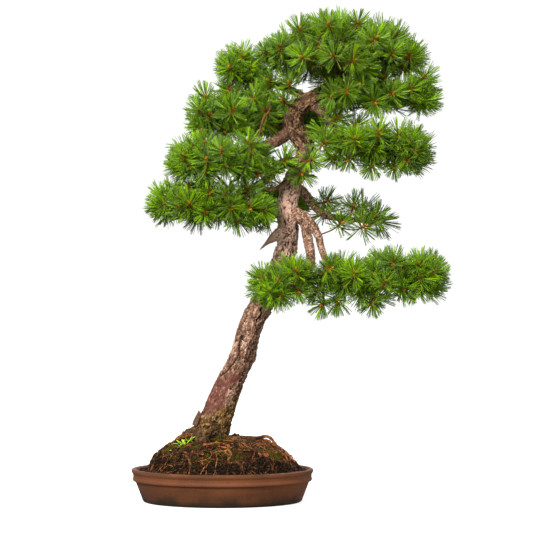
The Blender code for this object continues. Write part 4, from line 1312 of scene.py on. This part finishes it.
def grow_twigs(rng, tips, directions, limbs):
    """Twigs that join each shoot to the nearest wood: rows of (x, y, z, radius), thicker with load."""
    joints = list(limbs["place"][::6])
    reach = [0.0] * len(joints)
    parent = [-1] * len(joints)
    carried = [0] * len(joints)
    starts = len(joints)
    near = np.array([limbs["tree"].find(tip)[2] for tip in tips])
    paths = []
    for i in np.argsort(near):
        tip = tips[i] - directions[i] * 14 * MM
        gaps = np.linalg.norm(np.array(joints) - tip, axis=1)
        pick = int(np.argmin(gaps + 0.30 * np.array(reach) + 0.004 * (np.array(reach) == 0)))
        start = np.array(joints[pick])
        gap = gaps[pick]
        bow = rng.normal(0, 0.10, 3) * gap + [0, 0, -0.10 * gap]
        chain = [pick]
        for share in (0.33, 0.66, 1.0):
            spot = start + (tip - start) * share + bow * math.sin(math.pi * share)
            joints.append(spot)
            reach.append(reach[pick] + gap * share)
            parent.append(chain[-1])
            carried.append(0)
            chain.append(len(joints) - 1)
        paths.append((chain, i))
        step = chain[-1]
        while step >= starts:
            carried[step] += 1
            step = parent[step]
    # A twig is as thick as the shoots it carries need.
    rods = []
    for chain, i in paths:
        rod = []
        for joint in chain:
            load = carried[joint] if joint >= starts else carried[chain[1]]
            rod.append((*joints[joint], min(0.90 + 0.45 * math.sqrt(load), 3.2) * MM))
        rod.append((*tips[i], 1.3 * MM))
        rods.append(rod)
    return rods


def needle_shape():
    """One needle, 1 long and about 1 across: a three-sided blade of even width with a short point."""
    blade = primitive("circle", vertices=3, radius=0.34, fill_type="NOTHING")
    with edit_mode():
        for rise, growth in ((0.42, 1.5), (0.48, 0.92)):
            bpy.ops.mesh.extrude_edges_move(TRANSFORM_OT_translate={"value": (0, 0, rise)})
            bpy.ops.transform.resize(value=(growth, growth, 1.0))
        bpy.ops.mesh.extrude_edges_move(TRANSFORM_OT_translate={"value": (0, 0, 0.10)})
        bpy.ops.mesh.merge(type="CENTER")
        bpy.ops.mesh.select_all(action="SELECT")
        bpy.ops.mesh.normals_make_consistent(inside=False)
    return template(blade)


def needle_chart(shape, triangles, tones, turned, pale_face=2):
    """Map coordinates of every corner: U from the needle's tone and the face's side, V along the needle.

    A turned needle shows its pale inner side all round.
    """
    middles = shape[triangles].mean(axis=1)
    turn = np.arctan2(middles[:, 1], middles[:, 0]) / math.tau + 0.5
    sector = np.floor(turn * 3 - 1e-6).astype(int) % 3
    turns = np.arctan2(shape[triangles][:, :, 1], shape[triangles][:, :, 0])
    nudge = 0.012 * np.cos(turns - turns.mean(axis=1, keepdims=True)) + 0.012 * np.sin(turns * 2)
    pale = (sector == pale_face)[None, :, None] | turned[:, None, None]
    tone = tones[:, None, None]
    u = np.where(pale, 0.67 + 0.30 * tone, 0.03 + 0.55 * tone) + nudge[None]
    v = np.broadcast_to(0.01 + 0.98 * shape[triangles][:, :, 2], u.shape)
    return np.stack([u, v], axis=-1).reshape(-1, 2)


class BONSAI_OT_foliage(bpy.types.Operator):
    """Grows twigs, buds and needles in the space of each foliage pad"""

    bl_idname = "bonsai.foliage"
    bl_label = "Twigs and needles"

    def execute(self, context):
        settings = context.scene.bonsai
        limbs = joined_samples([TRUNK[14:], *BRANCHES.values()])
        limbs["tree"] = nearest_finder(limbs["place"])
        shape, triangles = needle_shape()
        finish = pine_needle()
        tips, headings = [], []
        for number, node in enumerate(nodes_named("foliage_")):
            places, directions, lengths = shoots_in(node, settings, 40 + number, limbs)
            tips.append(places)
            headings.append(directions)
            self.needles(node, places, directions, lengths, settings, shape, triangles, finish, 70 + number)
        tips, headings = np.concatenate(tips), np.concatenate(headings)
        rng = np.random.default_rng(3)
        twigs = sweep([*grow_twigs(rng, tips, headings, limbs), *CURLED_TWIGS], sides=6, steps=3)
        hand_over(twigs, "twigs", twig_bark())
        self.buds(rng, tips, headings)
        return {"FINISHED"}

    def buds(self, rng, tips, headings):
        """A bud at the heart of each shoot: a spindle of resinous scales."""
        shape, triangles = template(primitive("uv_sphere", segments=7, ring_count=6, radius=1.0))
        shape[:, :2] *= (1 - 0.35 * shape[:, 2:]) * (1 + 0.12 * np.cos(shape[:, 2:] * 9))
        lengths = rng.uniform(4.2, 6.2, len(tips)) * MM
        places = tips + headings * 5.0 * MM
        made = copies("buds", placed(shape, places, headings, lengths * 0.46, lengths), triangles)
        hand_over(made, "shoot_buds", pine_bud())

    def needles(self, node, places, directions, reach, settings, shape, triangles, finish, seed):
        """All needles of one pad: tight bundles of five round each shoot, opening like a brush."""
        rng = np.random.default_rng(seed)
        shoots, bundles, five = len(places), settings.bundles, 5
        # Bundles turn by the golden angle, and lean out further the lower they stand on the shoot.
        first, second = side_axes(directions)
        order = (np.arange(bundles) + 0.5) / bundles
        tilt = np.radians(24 + 64 * order**0.8)[None] + rng.normal(0, 0.10, (shoots, bundles))
        turn = np.arange(bundles)[None] * GOLDEN_ANGLE + rng.uniform(0, math.tau, (shoots, 1))
        turn = turn + rng.normal(0, 0.2, (shoots, bundles))
        outward = np.cos(turn)[..., None] * first[:, None] + np.sin(turn)[..., None] * second[:, None]
        bundle = np.cos(tilt)[..., None] * directions[:, None] + np.sin(tilt)[..., None] * outward
        bundle = np.repeat(bundle[:, :, None], five, axis=2)
        ways = unit(bundle + rng.normal(0, 0.085, bundle.shape)).reshape(-1, 3)
        outward = np.repeat(outward[:, :, None], five, axis=2).reshape(-1, 3)
        axis = np.repeat(directions, bundles * five, axis=0)
        along = np.repeat(np.tile(2 - 17 * order, shoots), five) * MM
        feet = np.repeat(places, bundles * five, axis=0) + axis * along[:, None]
        length = np.repeat(reach, bundles) * rng.uniform(0.84, 1.04, shoots * bundles)
        lengths = np.repeat(length, five) * rng.uniform(0.95, 1.02, len(ways))
        widths = settings.needle_width * rng.uniform(0.85, 1.15, len(ways))
        # Each needle is spun about its own length, and bends a little towards the light.
        side, other = side_axes(ways)
        spin = rng.uniform(0, math.tau, len(ways))[:, None]
        side, other = side * np.cos(spin) + other * np.sin(spin), other * np.cos(spin) - side * np.sin(spin)
        bend = np.repeat(rng.uniform(-0.02, 0.15, shoots * bundles), five)[:, None]
        bend = bend * unit(axis * 0.8 + [0, 0, 0.3] - outward * 0.3)
        t = shape[None, :, 2, None]
        points = feet[:, None] + (ways[:, None] * t + bend[:, None] * t * t) * lengths[:, None, None]
        across = shape[None, :, 0, None] * side[:, None] + shape[None, :, 1, None] * other[:, None]
        points = points + across * widths[:, None, None]
        made = copies(node, points, triangles)
        # Shoots, bundles and needles each have their own tone, and painted light makes shoots that face up
        # and forwards paler, with each pad's painted light and shade added.
        lit = 0.40 + 0.10 * directions[:, 2] - 0.10 * directions[:, 1] + rng.normal(0, 0.10, shoots)
        lit = lit + PAD_PAINTED_LIGHT.get(node, 0.0)
        tones = np.repeat(lit, bundles) + rng.normal(0, 0.20, shoots * bundles)
        tones = np.repeat(tones, five) + rng.normal(0, 0.10, len(ways))
        turned = rng.uniform(0, 1, len(ways)) < np.repeat(rng.uniform(0, 0.40, shoots), bundles * five)
        chart = needle_chart(shape, triangles, np.clip(tones, 0, 1), turned)
        layer = made.data.uv_layers.new(name=NEEDLE_MAP)
        layer.uv.foreach_set("vector", chart.astype(np.float32).ravel())
        hand_over(made, node.replace("foliage", "needles"), finish, [node], smooth=False)


class BONSAI_OT_stage(bpy.types.Operator):
    """Lays a pale floor and sets soft studio light and the camera"""

    bl_idname = "bonsai.stage"
    bl_label = "Stage"

    def execute(self, context):
        scene = context.scene
        floor = primitive("plane", size=60, location=(0, 0, -0.2 * MM))
        floor.name = "floor"
        floor.visible_diffuse = floor.visible_glossy = floor.visible_shadow = False
        paper = new_material("white_paper", Roughness=0.9, Specular_IOR_Level=0.0,
            Base_Color=(0.5, 0.5, 0.5, 1), Emission_Color="#ffffff", Emission_Strength=0.78)[0]
        floor.data.materials.append(paper)

        world = bpy.data.worlds.new("studio")
        scene.world = world
        world.use_nodes = True
        add = functools.partial(add_node, world.node_tree)
        way = add("TexCoord").outputs["Generated"]
        height = add("SeparateXYZ", {"Vector": way}).outputs["Z"]
        glow = add("MapRange", {"Value": height, "From Min": -0.6, "From Max": 0.6, "To Min": 0.26,
            "To Max": 0.62})
        seen = add("LightPath").outputs["Is Camera Ray"]
        strength = add("Mix", {"Factor": seen, "A": glow, "B": 1.05})
        fill(world.node_tree.nodes["Background"], {"Strength": strength, "Color": "#ffffff"})

        lamps = {"key": ((-1.5, -3.2, 2.4), 1.0, 190), "fill": ((2.4, -2.6, 1.5), 2.2, 20),
            "top": ((0.3, 0.4, 3.4), 1.6, 38), "back": ((0.6, 2.8, 1.8), 2.0, 40)}
        for name, (place, size, power) in lamps.items():
            bpy.ops.object.select_all(action="DESELECT")
            bpy.ops.object.light_add(type="AREA", location=place)
            lamp = context.object
            lamp.name = name
            lamp.data.size = size
            lamp.data.energy = power
            aim = Vector((0.1, 0, 0.45)) - Vector(place)
            lamp.rotation_euler = aim.to_track_quat("-Z", "Y").to_euler()
            lamp.visible_camera = False

        bpy.ops.object.camera_add(location=CAMERA_PLACE, rotation=(math.radians(90), 0, 0))
        camera = context.object
        camera.data.lens = CAMERA_LENS_MM
        camera.data.sensor_width = 36
        scene.camera = camera
        scene.view_settings.view_transform = "Standard"
        return {"FINISHED"}


class BONSAI_PT_panel(bpy.types.Panel):
    """The sidebar panel with the settings and one button for each group of pieces"""

    bl_label = "Pine bonsai"
    bl_idname = "BONSAI_PT_panel"
    bl_space_type = "VIEW_3D"
    bl_region_type = "UI"
    bl_category = "Bonsai"

    def draw(self, context):
        for name in BonsaiSettings.__annotations__:
            self.layout.prop(context.scene.bonsai, name)
        for operator in OPERATORS:
            self.layout.operator(operator.bl_idname)


OPERATORS = (
    BONSAI_OT_stage,
    BONSAI_OT_pan,
    BONSAI_OT_screens,
    BONSAI_OT_soil,
    BONSAI_OT_roots,
    BONSAI_OT_moss,
    BONSAI_OT_trunk,
    BONSAI_OT_branches,
    BONSAI_OT_foliage,
)
CLASSES = (BonsaiSettings, *OPERATORS, BONSAI_PT_panel)


def register():
    for cls in CLASSES:
        bpy.utils.register_class(cls)
    bpy.types.Scene.bonsai = bpy.props.PointerProperty(type=BonsaiSettings)


def unregister():
    del bpy.types.Scene.bonsai
    for cls in reversed(CLASSES):
        bpy.utils.unregister_class(cls)


def main():
    register()
    bpy.ops.bonsai.stage()
    bpy.ops.bonsai.pan()
    bpy.ops.bonsai.screens()
    bpy.ops.bonsai.soil()
    bpy.ops.bonsai.roots()
    bpy.ops.bonsai.moss()
    bpy.ops.bonsai.trunk()
    bpy.ops.bonsai.branches()
    bpy.ops.bonsai.foliage()


if __name__ == "__main__":
    main()
